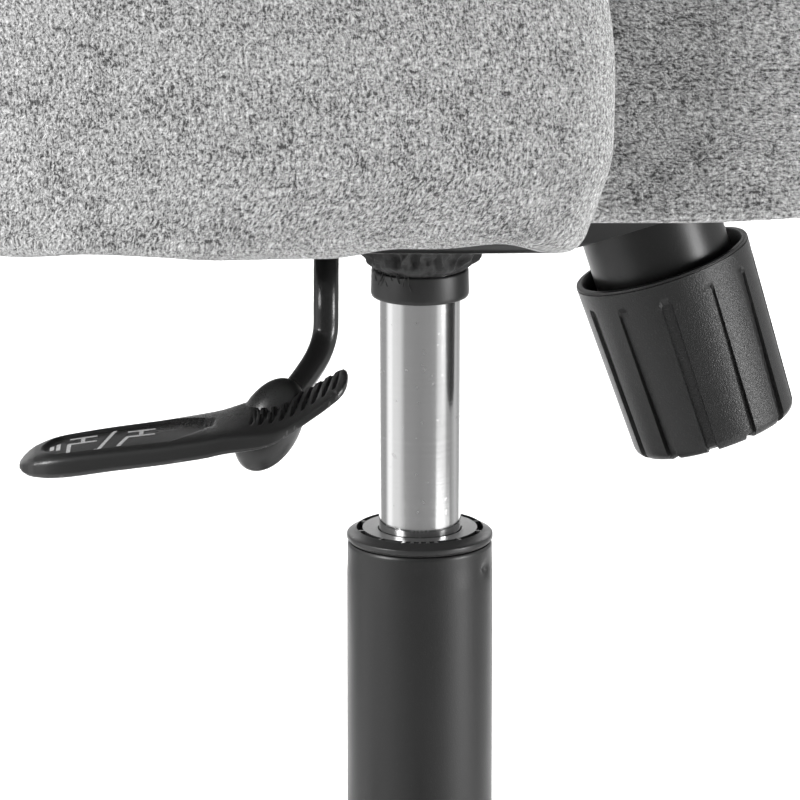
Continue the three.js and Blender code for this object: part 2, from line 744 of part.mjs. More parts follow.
function arcPoints(centreX, centreY, radius, fromDeg, toDeg, count) {
  const points = [];
  for (let i = 0; i < count; i += 1) {
    const angle = THREE.MathUtils.degToRad(fromDeg + (toDeg - fromDeg) * i / (count - 1));
    points.push([centreX + radius * Math.cos(angle), centreY + radius * Math.sin(angle)]);
  }
  return points;
}

// The back's half-turn from the left side round to the right, as a superellipse.
function backCurve(halfWidth, back, count) {
  const points = [];
  for (let i = 0; i < count; i += 1) {
    const angle = Math.PI * i / (count - 1);
    const [c, s] = [Math.cos(angle), Math.sin(angle)];
    const power = 2 / SHELL_CURVE;
    const y = SHELL_STRAIGHT_END + (back - SHELL_STRAIGHT_END) * Math.abs(s) ** power;
    points.push([halfWidth * Math.sign(c) * Math.abs(c) ** power, y]);
  }
  return points;
}

// The seat's plan outline, pulled in all round by an inset, with its back pushed out by a spread.
function seatOutline(inset, spread) {
  const half = SEAT_HALF_WIDTH - inset;
  const corner = SEAT_CORNER - Math.min(inset, SEAT_CORNER / 2);
  const front = SEAT_FRONT + inset;
  return [
    ...arcPoints(corner - half, front + corner, corner, 180, 270, 5),
    ...arcPoints(half - corner, front + corner, corner, 270, 360, 5),
    ...backCurve(half, SHELL_BACK - SHELL_THICKNESS / 2 - 8 - inset + spread, 13),
  ];
}

// The shell's outward lean grows with height, more at the back than at the sides.
function flare(z, backness) {
  return (z - SHELL_BOTTOM) / (SHELL_BACK_TOP - SHELL_BOTTOM) * (11 + 31 * backness);
}

// The seat's back follows the shell's lean.
function seatRing(inset, z) {
  return seatOutline(inset, flare(z, 1)).map(([x, y]) => [x, y, z]);
}

const BOARD_INSET = 22;
const BOARD_TOP = BOARD_BOTTOM + BOARD_THICKNESS;

function seatBoard() {
  const board = loft([seatRing(BOARD_INSET, BOARD_BOTTOM), seatRing(BOARD_INSET, BOARD_TOP)]);
  const holes = plateBoltPlaces().map(([x, y]) => bar(3.5, BOARD_BOTTOM - 1, BOARD_TOP + 1, 12).translate(x, y, 0));
  return cut(board, ...holes);
}

place('seat_board', seatBoard(), MATERIAL.plywood);

function seatCushion() {
  const body = loft([
    seatRing(5, SEAT_BOTTOM),
    seatRing(0, SEAT_BOTTOM + 9),
    seatRing(0, SEAT_TOP - 34),
    seatRing(6, SEAT_TOP - 18),
    seatRing(26, SEAT_TOP - 6),
    seatRing(70, SEAT_TOP),
  ]);
  const pocket = loft([
    seatRing(BOARD_INSET - GAP, SEAT_BOTTOM - 5),
    seatRing(BOARD_INSET - GAP, BOARD_TOP + GAP),
  ]);
  return cut(body, pocket);
}

place('seat_cushion', seatCushion(), MATERIAL.tweed);

function dustCover() {
  const top = BOARD_BOTTOM - GAP;
  const sheet = loft([seatRing(BOARD_INSET + 1, top - 1), seatRing(BOARD_INSET + 1, top)]);
  return cut(sheet, block([-96, -113, top - 3], [96, 107, top + 3]));
}

place('dust_cover', dustCover(), MATERIAL.blackCloth);

plateBoltPlaces().forEach(([x, y], index) => {
  const bolt = turned([
    [0, PLATE_BOTTOM - 5.3],
    [6, PLATE_BOTTOM - 5.3],
    [6.5, PLATE_BOTTOM - GAP],
    [3, PLATE_BOTTOM - GAP],
    [3, BOARD_TOP - 1],
    [0, BOARD_TOP - 1],
  ], 12);
  place(`plate_bolt_${index + 1}`, bolt.translate(x, y, 0), MATERIAL.zinc);
});

// ---------------------------------------------------------------- wrap-round shell

// How far the shell's front edge leans back, by height.
function frontLean(z) {
  const foot = 9 * (1 - smoothstep(SHELL_BOTTOM, COLLAR_Z + 114, z));
  const head = 46 * smoothstep(COLLAR_Z + 130, SHELL_FRONT_TOP + 40, z);
  return foot + head;
}

// Stations round the shell: a point on its middle line, its outward direction and how near the back it is.
function shellStations() {
  const straight = [SHELL_FRONT, SHELL_FRONT + 5, SHELL_FRONT + 16, SHELL_FRONT + 48];
  const right = straight.map((y) => [SHELL_HALF_WIDTH, y]);
  const left = straight.map((y) => [-SHELL_HALF_WIDTH, y]).reverse();
  const line = [...right, ...backCurve(SHELL_HALF_WIDTH, SHELL_BACK, 19), ...left];
  return line.map(([x, y], i) => {
    const [before, after] = [line[Math.max(i - 1, 0)], line[Math.min(i + 1, line.length - 1)]];
    const length = Math.hypot(after[0] - before[0], after[1] - before[1]);
    const outward = [(after[1] - before[1]) / length, (before[0] - after[0]) / length];
    const fromEnd = Math.abs(y - SHELL_FRONT);
    const backness = smoothstep(SHELL_STRAIGHT_END, SHELL_BACK, y);
    return { x, y, outward, fromEnd, backness };
  });
}

// One cross-section of the shell: [outward offset, height share] corners, rounded at the head and foot.
function shellRing({ x, y, outward, fromEnd, backness }) {
  const edge = Math.sqrt(1 - (1 - Math.min(fromEnd / 16, 1)) ** 2);
  const half = (SHELL_THICKNESS / 2 + 4 * backness) * (0.45 + 0.55 * edge);
  const corner = 1 - Math.min(fromEnd / 48, 1);
  const top = SHELL_FRONT_TOP - 50 * corner ** 2
    + (SHELL_BACK_TOP - SHELL_FRONT_TOP) * smoothstep(SHELL_FRONT, SHELL_BACK, y);
  const bottom = SHELL_BOTTOM + 10 * (1 - edge);
  const section = [
    [-0.7, bottom + 1],
    [0.7, bottom],
    [1, bottom + 8],
    [1, bottom + (top - bottom) * 0.35],
    [1, bottom + (top - bottom) * 0.7],
    [1, top - 14],
    [0.6, top - 3],
    [0, top],
    [-0.6, top - 3],
    [-1, top - 14],
    [-1, bottom + (top - bottom) * 0.7],
    [-1, bottom + (top - bottom) * 0.35],
    [-1, bottom + 8],
  ];
  const lean = 1 - smoothstep(0, SHELL_BACK - SHELL_FRONT, fromEnd);
  return section.map(([side, z]) => {
    const offset = side * half + flare(z, backness);
    return [x + outward[0] * offset, y + outward[1] * offset + frontLean(z) * lean, z];
  });
}

place('back_shell', loft(shellStations().map(shellRing)), MATERIAL.tweed);

// A strap under the seat board, stepped down to reach under the shell's lower edge.
function shellStrap(from, bend, to) {
  const high = SEAT_BOTTOM - GAP;
  const low = SHELL_BOTTOM - GAP;
  return [
    [from, high],
    [bend, high],
    [bend + 7, low],
    [to, low],
    [to, low - STEEL],
    [bend + 5, low - STEEL],
    [bend - 2, high - STEEL],
    [from, high - STEEL],
  ];
}

const STRAP_Y = 120;
const STRAP_HALF = 15;
const sideStrap = shellStrap(130, 222, 252);
const rearStrap = shellStrap(125, 216, 248);
place('shell_strap_left', plateXZ(sideStrap, STRAP_Y - STRAP_HALF, STRAP_Y + STRAP_HALF), MATERIAL.blackPaint);
place('shell_strap_right', plateXZ(sideStrap, -STRAP_HALF, STRAP_HALF).rotateZ(Math.PI).translate(0, STRAP_Y, 0), MATERIAL.blackPaint);
place('shell_strap_rear', plateXZ(rearStrap, -STRAP_HALF, STRAP_HALF).rotateZ(Math.PI / 2), MATERIAL.blackPaint);

export default group;
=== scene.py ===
import json
import math

import bmesh
import bpy
import numpy as np
from mathutils import Matrix, Vector, noise


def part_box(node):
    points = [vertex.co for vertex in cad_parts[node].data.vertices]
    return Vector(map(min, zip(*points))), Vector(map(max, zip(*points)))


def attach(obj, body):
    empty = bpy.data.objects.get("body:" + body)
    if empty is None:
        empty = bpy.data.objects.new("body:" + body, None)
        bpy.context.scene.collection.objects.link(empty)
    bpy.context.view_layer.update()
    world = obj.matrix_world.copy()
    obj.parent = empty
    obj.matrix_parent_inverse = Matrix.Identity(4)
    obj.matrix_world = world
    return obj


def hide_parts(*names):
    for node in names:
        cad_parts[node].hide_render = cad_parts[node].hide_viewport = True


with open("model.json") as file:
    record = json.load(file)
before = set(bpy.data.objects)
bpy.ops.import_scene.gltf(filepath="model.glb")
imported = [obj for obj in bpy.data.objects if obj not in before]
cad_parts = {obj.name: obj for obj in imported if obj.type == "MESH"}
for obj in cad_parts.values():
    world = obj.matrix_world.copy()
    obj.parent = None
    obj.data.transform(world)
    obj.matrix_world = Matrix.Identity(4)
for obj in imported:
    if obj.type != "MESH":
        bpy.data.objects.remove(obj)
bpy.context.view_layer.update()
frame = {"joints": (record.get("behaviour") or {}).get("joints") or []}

# A gas-lift swivel tub seat on a five-star caster base. Metres, +Z up, and the seat faces -Y.

MM = 0.001

# ---- places taken from the frame

TUBE_LOW, TUBE_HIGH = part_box("outer_column_tube")
CAP_LOW, CAP_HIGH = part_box("column_bushing")
CYLINDER_LOW, CYLINDER_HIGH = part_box("gas_cylinder")
RING_LOW, RING_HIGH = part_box("collar_ring")
BOOT_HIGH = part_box("cylinder_boot")[1]
COVER_LOW, COVER_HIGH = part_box("dust_cover")
SHELL_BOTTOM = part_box("back_shell")[0].z
BRACKET_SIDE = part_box("tilt_base_bracket")[1].x
JOINTS = {joint["name"]: joint for joint in frame["joints"]}
COLLAR_Z = RING_LOW.z
TUBE_RADIUS = TUBE_HIGH.x
CYLINDER_RADIUS = CYLINDER_HIGH.x
CASTERS = range(1, 6)


# ---- shader nodes


class Nodes:
    """Adds nodes to a tree. An input given as a socket is linked, and any other value is set on it."""

    def __init__(self, tree):
        self.tree = tree

    def put(self, socket, value):
        if isinstance(value, bpy.types.NodeSocket):
            self.tree.links.new(value, socket)
        else:
            socket.default_value = value

    def add(self, kind, settings=None, **inputs):
        made = self.tree.nodes.new("ShaderNode" + kind)
        for key, value in (settings or {}).items():
            setattr(made, key, value)
        for key, value in inputs.items():
            self.put(made.inputs[key.replace("_", " ")], value)
        return made

    def calc(self, operation, *values, kind="Math"):
        made = self.add(kind, {"operation": operation})
        for socket, value in zip(made.inputs, values):
            self.put(socket, value)
        return made.outputs[0]

    def vector(self, operation, *values):
        return self.calc(operation, *values, kind="VectorMath")

    def total(self, start, *terms):
        """start plus the product of each (value, factor) term."""
        for value, factor in terms:
            start = self.calc("MULTIPLY_ADD", value, factor, start)
        return start

    def wave(self, value, length):
        return self.calc("SINE", self.calc("MULTIPLY", value, 2 * math.pi / length))

    def ramp(self, value, low, high, start=0.0, end=1.0):
        """A smooth step from start to end as value goes from low to high."""
        return self.add("MapRange", {"interpolation_type": "SMOOTHSTEP"}, Value=value, From_Min=low,
                        From_Max=high, To_Min=start, To_Max=end).outputs["Result"]

    def noise(self, place, scale=1.0, detail=2.0, rough=0.5):
        return self.add("TexNoise", Vector=place, Scale=scale, Detail=detail, Roughness=rough).outputs["Fac"]


class Look(Nodes):
    """A new material."""

    def __init__(self, name, roughness, metallic=0.0):
        self.material = bpy.data.materials.new(name)
        self.material.use_nodes = True
        super().__init__(self.material.node_tree)
        self.shade(Roughness=roughness, Metallic=metallic)

    def shade(self, **inputs):
        for key, value in inputs.items():
            self.put(self.tree.nodes["Principled BSDF"].inputs[key.replace("_", " ")], value)

    def place(self, *factors):
        """The point in the object's own space, stretched by these factors if they are given."""
        point = self.add("TexCoord").outputs["Object"]
        return self.vector("MULTIPLY", point, factors) if factors else point

    def finished(self, value, height, depth, strength, tint=(1, 1, 1)):
        """The material, coloured by a tinted value, with a bump of that depth in millimetres."""
        channels = [value if share == 1 else self.calc("MULTIPLY", value, share) for share in tint]
        colour = self.add("CombineColor", **dict(zip(("Red", "Green", "Blue"), channels)))
        bump = self.add("Bump", Height=height, Distance=depth * MM, Strength=strength)
        self.shade(Base_Color=colour.outputs["Color"], Normal=bump.outputs["Normal"])
        return self.material


# ---- camera and studio

PITCH = math.radians(14.5)
TARGET = Vector((0, 0.0068, 0.320))
DISTANCE = 2.49
LENS = 328
WHITE = (1, 1, 1, 1)
SEEN_WHITE = 1.3  # strength of the white that the camera sees behind the object
PANELS = [  # degrees round from the camera's side, and the strength of the light low down there
    (-180, 1.2), (-135, 0.42), (-117, 0.66), (-98, 0.34), (-82, 0.34), (-72, 0.82), (-55, 0.82),
    (-44, 0.36), (0, 0.30), (44, 0.36), (58, 0.85), (82, 0.95), (88, 1.25), (100, 1.25), (112, 0.40),
    (140, 0.42), (180, 1.2)]
LIGHTS = [  # name, place, aim, size, watts
    ("overhead", (0.3, 0, 2.4), (0.2, 0, 0), (2.4, 2.4), 20),
    ("left_softbox", (-1.25, 2.1, 1.2), (0, 0, 0.45), (0.9, 0.9), 60),
    ("right_softbox", (-0.62, -1.58, 0.36), (-0.15, -0.1, 0.35), (0.4, 0.6), 17),
    ("floor_fill", (-0.20, -0.42, 0.02), (-0.16, -0.22, 0.37), (0.5, 0.35), 0.5),
    ("far_floor", (2.6, 0, 1.8), (2.4, 0, 0), (2.6, 1.6), 90),
]


def linked(name, data):
    made = bpy.data.objects.new(name, data)
    bpy.context.scene.collection.objects.link(made)
    return made


def aimed(name, data, place, aim):
    made = linked(name, data)
    made.location = place
    made.rotation_mode = "QUATERNION"
    made.rotation_quaternion = (Vector(aim) - Vector(place)).to_track_quat("-Z", "Y")
    return made


def make_camera():
    data = bpy.data.cameras.new("camera")
    data.lens, data.clip_end = LENS, 100
    back = Vector((-math.cos(PITCH), 0, math.sin(PITCH)))
    bpy.context.scene.camera = aimed("camera", data, TARGET + back * DISTANCE, TARGET)


def make_lights():
    for name, place, aim, size, watts in LIGHTS:
        data = bpy.data.lights.new(name, "AREA")
        data.shape, data.energy = "RECTANGLE", watts
        data.size, data.size_y = size
        aimed(name, data, place, aim).visible_camera = False


def make_world():
    """A white studio: a pale ceiling, dim on the camera's side, with lit panels low down at the sides."""
    world = bpy.data.worlds.new("studio")
    bpy.context.scene.world = world
    world.use_nodes = True
    world.node_tree.nodes.clear()
    sky = Nodes(world.node_tree)
    part = sky.add("SeparateXYZ", Vector=sky.add("TexCoord").outputs["Generated"]).outputs
    turn = sky.calc("ARCTAN2", part["Y"], sky.calc("MULTIPLY", part["X"], -1.0))
    panels = sky.add("ValToRGB", Fac=sky.total(0.5, (turn, 0.5 / math.pi)))
    stops = panels.color_ramp.elements
    while len(stops) < len(PANELS):
        stops.new(0.5)
    for stop, (angle, level) in zip(stops, PANELS):
        stop.position = 0.5 + angle / 360
        stop.color = (level / 2, level / 2, level / 2, 1)  # halved, as a colour stops at 1
    low = sky.calc("MULTIPLY", panels.outputs["Color"], 2.0)
    ceiling = sky.ramp(part["X"], -0.9, 0.2, 0.35, 0.95)
    strength = sky.total(low, (sky.calc("SUBTRACT", ceiling, low), sky.ramp(part["Z"], -0.05, 0.30)))
    lit, seen = [sky.add("Background", Color=WHITE, Strength=level) for level in (strength, SEEN_WHITE)]
    mix = sky.add("MixShader")
    from_camera = sky.add("LightPath").outputs["Is Camera Ray"]
    for socket, source in zip(mix.inputs, (from_camera, lit.outputs[0], seen.outputs[0])):
        sky.put(socket, source)
    sky.add("OutputWorld", Surface=mix.outputs[0])


def make_floor():
    mesh = bpy.data.meshes.new("floor")
    near, far, side = -0.60, 30, 0.6
    corners = [(near, -side, 0), (far, -side, 0), (far, side, 0), (near, side, 0)]
    mesh.from_pydata(corners, [], [(0, 1, 2, 3)])
    white = Look("floor_white", 0.9)
    white.shade(Base_Color=(0.86, 0.86, 0.86, 1))
    mesh.materials.append(white.material)
    linked("floor", mesh)


# ---- materials


def tweed():
    """Slubby woven wool: light streaks over mid grey, crossed by finer ones, with loose dark flecks.

    The weave attribute holds the distances across and along the streaks, and how far the cover is
    turned over an edge, where paler colour is painted in for sheen and bounce light, and the flecks fade.
    """
    look = Look("tweed", 0.95)
    weave = look.add("Attribute", {"attribute_name": "weave"}).outputs["Vector"]
    # the weave's third value: painted sheen and bounce light on turned-over edges
    painted_edge_light = look.add("SeparateXYZ", Vector=weave).outputs["Z"]
    cloth = look.vector("MULTIPLY", weave, (1 / MM, 1 / MM, 0))
    drift = look.add("TexNoise", Vector=cloth, Scale=0.25, Detail=1.0).outputs["Color"]
    yarn = look.vector("MULTIPLY_ADD", drift, (1.5, 1.8, 0), cloth)

    def streaks(width, length, offset, detail=1.5):
        sized = look.vector("MULTIPLY", yarn, (1 / width, 1 / length, 0))
        place = look.vector("ADD", sized, (offset, offset, offset))
        return look.calc("SUBTRACT", look.noise(place, 1.0, detail, 0.6), 0.5)

    slubs = streaks(0.82, 1.75, 0.0)
    crossing = streaks(1.7, 0.72, 7.0)
    fine = streaks(0.36, 0.5, 3.0, 2.0)
    long_streaks = streaks(1.9, 11.0, 5.0, 2.0)
    cluster = look.calc("SUBTRACT", look.noise(cloth, 0.075, 3.0, 0.65), 0.5)
    lot = look.calc("ADD", streaks(0.95, 2.3, 11.0), look.calc("MULTIPLY", cluster, 0.75))
    fleck = look.calc("MULTIPLY", look.ramp(lot, 0.09, 0.18), look.total(1.0, (painted_edge_light, -0.85)))
    part = look.add("SeparateXYZ", Vector=yarn).outputs
    knot = look.calc("MULTIPLY", look.wave(part["X"], 1.4), look.wave(part["Y"], 1.25))
    # turned-over edges get a painted highlight: a paler tone standing in for sheen and bounce light
    tone = look.total(0.405, (slubs, 1.45), (crossing, 0.80), (fine, 0.60), (long_streaks, 0.35),
                      (knot, 0.045), (cluster, -0.22), (fleck, -0.17), (painted_edge_light, 0.11))
    height = look.total(look.calc("MULTIPLY", crossing, 0.9), (slubs, 1.6), (fine, 0.7), (knot, 0.16))
    look.shade(Sheen_Weight=0.35, Sheen_Roughness=0.45, Specular_IOR_Level=0.2)
    return look.finished(look.calc("MAXIMUM", tone, 0.07), height, 0.5, 0.9)


def grained(name, tone, roughness, grain, depth, speckle=0.0):
    """Moulded plastic or powder coat: an even dark tone with a fine grain and a little handling wear."""
    look = Look(name, roughness)
    place = look.place()
    fine = look.noise(place, 1 / (grain * MM), 2.0, 0.6)
    broad = look.noise(place, 22.0, 3.0)
    wear = look.ramp(look.add("NewGeometry").outputs["Pointiness"], 0.52, 0.60, 0.0, 0.05)
    value = look.calc("ADD", look.total(tone * 0.82, (broad, tone * 0.35)), wear)
    value = look.total(value, (look.ramp(fine, 0.55, 0.75), speckle))
    rough = look.calc("SUBTRACT", look.total(roughness - 0.08, (broad, 0.16)), 0.05)
    look.shade(Roughness=look.total(rough, (fine, 0.10)))
    return look.finished(value, fine, depth, 0.8)


def bright_steel():
    """Ground and chromed steel: grinding rings, faint streaks and a few specks."""
    look = Look("bright_steel", 0.15, metallic=1.0)
    rings = look.noise(look.place(8, 8, 900), detail=3.0, rough=0.7)
    streaks = look.noise(look.place(380, 380, 7))
    specks = look.ramp(look.noise(look.place(), 420.0, 1.0), 0.70, 0.76)
    look.shade(Roughness=look.total(0.09, (rings, 0.10), (specks, 0.2)))
    return look.finished(look.total(0.66, (rings, 0.05), (streaks, 0.10), (specks, -0.20)), rings, 0.02, 0.5)


def plated(name, tone, roughness):
    """Zinc plate or oiled spring steel: a blotchy metal."""
    look = Look(name, roughness, metallic=1.0)
    place = look.place()
    blotch = look.noise(place, 180.0, 4.0, 0.65)
    look.shade(Roughness=look.total(roughness - 0.1, (blotch, 0.2)))
    value = look.total(tone * 0.8, (blotch, tone * 0.4))
    return look.finished(value, look.noise(place, 1800.0), 0.03, 0.4, tint=(1, 1, 0.94))


def black_cloth():
    """Thin black non-woven cloth: pressed fibres with a faint dimple pattern."""
    look = Look("black_cloth", 0.75)
    fibre = look.noise(look.place(900, 260, 900), detail=4.0, rough=0.7)
    dots = look.add("TexVoronoi", Vector=look.place(), Scale=900.0, Randomness=0.1).outputs["Distance"]
    look.shade(Sheen_Weight=0.08)
    height = look.calc("ADD", fibre, look.ramp(dots, 0.1, 0.4))
    return look.finished(look.total(0.012, (fibre, 0.030)), height, 0.12, 0.7)


def plywood():
    """Birch plywood: long grain on the faces and thin plies on the edge."""
    look = Look("plywood", 0.7)
    ply = 1.2 * MM
    grain = look.noise(look.place(160, 9, 160), detail=5.0, rough=0.65)
    plies = look.wave(look.add("SeparateXYZ", Vector=look.place()).outputs["Z"], 2 * ply)
    shade = look.total(look.total(0.55, (grain, 0.5)), (plies, 0.05))
    return look.finished(shade, grain, 0.1, 0.6, tint=(0.62, 0.45, 0.27))


def printed_mark():
    """Pad-printed light grey ink, thin in places."""
    look = Look("printed_mark", 0.6)
    worn = look.noise(look.place(), 900.0, 3.0, 0.7)
    return look.finished(look.total(0.22, (worn, 0.7)), worn, 0.02, 0.4)


# Blender numbers a name that the frame's own materials already have, so the key is the part before the point.
LOOKS = {material.name.split(".")[0]: material for material in [
    tweed(), black_cloth(), bright_steel(), plywood(), printed_mark(),
    plated("zinc_steel", 0.62, 0.36),
    plated("spring_steel", 0.12, 0.34),
    grained("black_plastic", 0.018, 0.40, 0.5, 0.05),
    grained("cap_plastic", 0.024, 0.34, 0.6, 0.03),
    grained("knob_plastic", 0.013, 0.36, 0.5, 0.24, speckle=0.02),
    grained("handle_plastic", 0.016, 0.30, 0.4, 0.06),
    grained("black_paint", 0.010, 0.36, 0.5, 0.04, speckle=0.006),
    grained("lever_paint", 0.012, 0.22, 0.7, 0.03),
    grained("nylon", 0.022, 0.48, 0.45, 0.12),
    grained("caster_tread", 0.030, 0.55, 0.8, 0.05),
    grained("rubber", 0.018, 0.75, 0.5, 0.06),
]}
SLOTS = {name: "black_plastic" for name in ("cap_plastic", "knob_plastic", "handle_plastic", "printed_mark")}
SLOTS["lever_paint"] = "black_paint"  # the other looks have a slot of their own name


# ---- mesh helpers


def smoothstep(low, high, value):
    share = np.clip((value - low) / (high - low), 0.0, 1.0)
    return share * share * (3 - 2 * share)


def beside(radius, level, *offsets):
    """Points at these (outward, upward) offsets in millimetres from a radius and a height."""
    return [(radius + out * MM, level + up * MM) for out, up in offsets]


def soft_corners(points, radius, steps=4, closed=True):
    """Rounds each corner of an outline, given as (across, up) points."""
    count = len(points)
    corners = [Vector(point) for point in points]
    made = []
    for i, corner in enumerate(corners):
        if not closed and i in (0, count - 1):
            made.append(tuple(corner))
            continue
        before, after = corners[i - 1] - corner, corners[(i + 1) % count] - corner
        reach = min(radius, before.length * 0.45, after.length * 0.45)
        start, end = corner + before.normalized() * reach, corner + after.normalized() * reach
        for step in range(steps + 1):
            t = step / steps
            made.append(tuple(start * (1 - t) ** 2 + corner * 2 * t * (1 - t) + end * t * t))
    return made


def shade(mesh, sharp=38):
    """Smooth shading, broken at edges sharper than that many degrees."""
    mesh.shade_smooth()
    mesh.set_sharp_from_angle(angle=math.radians(sharp))


def mesh_from(name, points, faces):
    mesh = bpy.data.meshes.new(name)
    mesh.from_pydata([tuple(map(float, point)) for point in points], [], faces)
    solid = bmesh.new()
    solid.from_mesh(mesh)
    bmesh.ops.recalc_face_normals(solid, faces=solid.faces)
    if solid.calc_volume(signed=True) < 0:
        bmesh.ops.reverse_faces(solid, faces=solid.faces)
    solid.to_mesh(mesh)
    solid.free()
    shade(mesh)
    return mesh


def grid_mesh(name, rows, wrap_rows=False):
    """A mesh through closed rows of points. Open ends are closed with faces across from side to side."""
    count, columns = len(rows), len(rows[0])
    faces = []
    for row in range(count if wrap_rows else count - 1):
        here, above = row * columns, (row + 1) % count * columns
        for column in range(columns):
            beyond = (column + 1) % columns
            faces.append((here + column, here + beyond, above + beyond, above + column))
    for first, forward in () if wrap_rows else ((0, False), ((count - 1) * columns, True)):
        ring = [*range(first, first + columns), first]
        for i in range(columns // 2):
            face = tuple(dict.fromkeys((ring[i], ring[i + 1], ring[columns - i - 1], ring[columns - i])))
            faces.append(face if forward else face[::-1])
    return mesh_from(name, [point for row in rows for point in row], faces)


def joined_mesh(name, parts):
    """One mesh of several small ones, which are used up."""
    points, faces = [], []
    for part in parts:
        first = len(points)
        points += [tuple(vertex.co) for vertex in part.vertices]
        faces += [tuple(first + i for i in face.vertices) for face in part.polygons]
        bpy.data.meshes.remove(part)
    return mesh_from(name, points, faces)


def turned(name, profile, steps, ring=True):
    """A profile of (radius, height) points turned about +Z. A ring's profile closes on itself."""
    angles = [2 * math.pi * i / steps for i in range(steps)]
    rows = [[(r * math.cos(a), r * math.sin(a), h) for a in angles] for r, h in profile]
    return grid_mesh(name, rows, wrap_rows=ring)


def coordinates(mesh):
    points = np.empty(len(mesh.vertices) * 3)
    mesh.vertices.foreach_get("co", points)
    return points.reshape(-1, 3)


def cylindrical(points):
    """Each point's distance from the Z axis and its angle round it from the photographed side."""
    return np.hypot(points[:, 0], points[:, 1]), np.arctan2(-points[:, 1], -points[:, 0])


def move_to(mesh, points):
    mesh.vertices.foreach_set("co", np.asarray(points, float).ravel())
    mesh.update()


def swell(mesh, amount):
    """Moves each point outward by its amount."""
    values = np.empty(len(mesh.vertices) * 3)
    mesh.vertex_normals.foreach_get("vector", values)
    move_to(mesh, coordinates(mesh) + values.reshape(-1, 3) * amount[:, None])


def noise_field(points, size, seed):
    """Smooth noise from -1 to 1 at each point, with features about the given size."""
    shift = Vector((seed, seed * 1.7, seed * 0.6))
    return np.array([noise.noise(Vector(point) / size + shift) for point in points])


def add_piece(name, mesh, body, look, *nodes):
    piece = linked(name, mesh)
    mesh.materials.append(LOOKS[look])
    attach(piece, body)
    if nodes:
        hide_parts(*nodes)
    return piece


def with_modifiers(piece):
    """The piece's mesh with its modifiers applied, as a new mesh."""
    graph = bpy.context.evaluated_depsgraph_get()
    return bpy.data.meshes.new_from_object(piece.evaluated_get(graph), depsgraph=graph)


def bevelled(mesh, width, segments, angle):
    """Rounds a mesh's sharp edges."""
    carrier = linked("carrier", mesh)
    bevel = carrier.modifiers.new("bevel", "BEVEL")
    bevel.width, bevel.segments = width, segments
    bevel.limit_method, bevel.angle_limit = "ANGLE", math.radians(angle)
    made = with_modifiers(carrier)
    bpy.data.objects.remove(carrier)
    shade(made, 40)
    return made


def united(name, *meshes):
    """The union of closed meshes."""
    carriers = [linked("carrier", mesh) for mesh in meshes]
    for other in carriers[1:]:
        joiner = carriers[0].modifiers.new("join", "BOOLEAN")
        joiner.operation, joiner.solver, joiner.object = "UNION", "EXACT", other
    bpy.context.view_layer.update()
    made = with_modifiers(carriers[0])
    made.name = name
    for carrier in carriers:
        bpy.data.objects.remove(carrier)
    shade(made, 42)
    return made


def smooth_path(points, steps):
    """A centripetal Catmull-Rom line through the points, as the CAD's bent bar follows."""
    points = [Vector(point) for point in points]
    ends = [points[0] * 2 - points[1], *points, points[-1] * 2 - points[-2]]
    line = []
    for p in zip(ends, ends[1:], ends[2:], ends[3:]):
        t = [0.0]
        for a, b in zip(p, p[1:]):
            t.append(t[-1] + (b - a).length ** 0.5)
        for step in range(steps):
            now = t[1] + (t[2] - t[1]) * step / steps
            first = [p[j].lerp(p[j + 1], (now - t[j]) / (t[j + 1] - t[j])) for j in range(3)]
            second = [first[j].lerp(first[j + 1], (now - t[j]) / (t[j + 2] - t[j])) for j in range(2)]
            line.append(second[0].lerp(second[1], (now - t[1]) / (t[2] - t[1])))
    return [*line, points[-1]]


def tube(name, path, radius, sides):
    """A round bar along a path of points."""
    angles = [2 * math.pi * j / sides for j in range(sides)]
    rows, side = [], Vector((0.31, 0.95, 0.12))  # any direction that no path follows
    for before, point, after in zip([path[0], *path], path, [*path[1:], path[-1]]):
        along = (after - before).normalized()
        side = (side - along * side.dot(along)).normalized()
        up = along.cross(side)
        rows.append([point + (side * math.cos(a) + up * math.sin(a)) * radius for a in angles])
    return grid_mesh(name, rows)


# ---- column

DENT_Z = 0.2628
DENT_TURN = math.radians(64.5)  # round from the photographed side
DENT_REACH = 1.7 * MM
SLOT_IN, SLOT_OUT, SLOT_DEPTH = 19.8 * MM, 21.6 * MM, 2.2 * MM
BRIDGES = [0.0, 7.3, 15.6, 40, 75, 110, 140, 165]  # degrees to each side of the photographed side
BRIDGE_HALF = 1.7


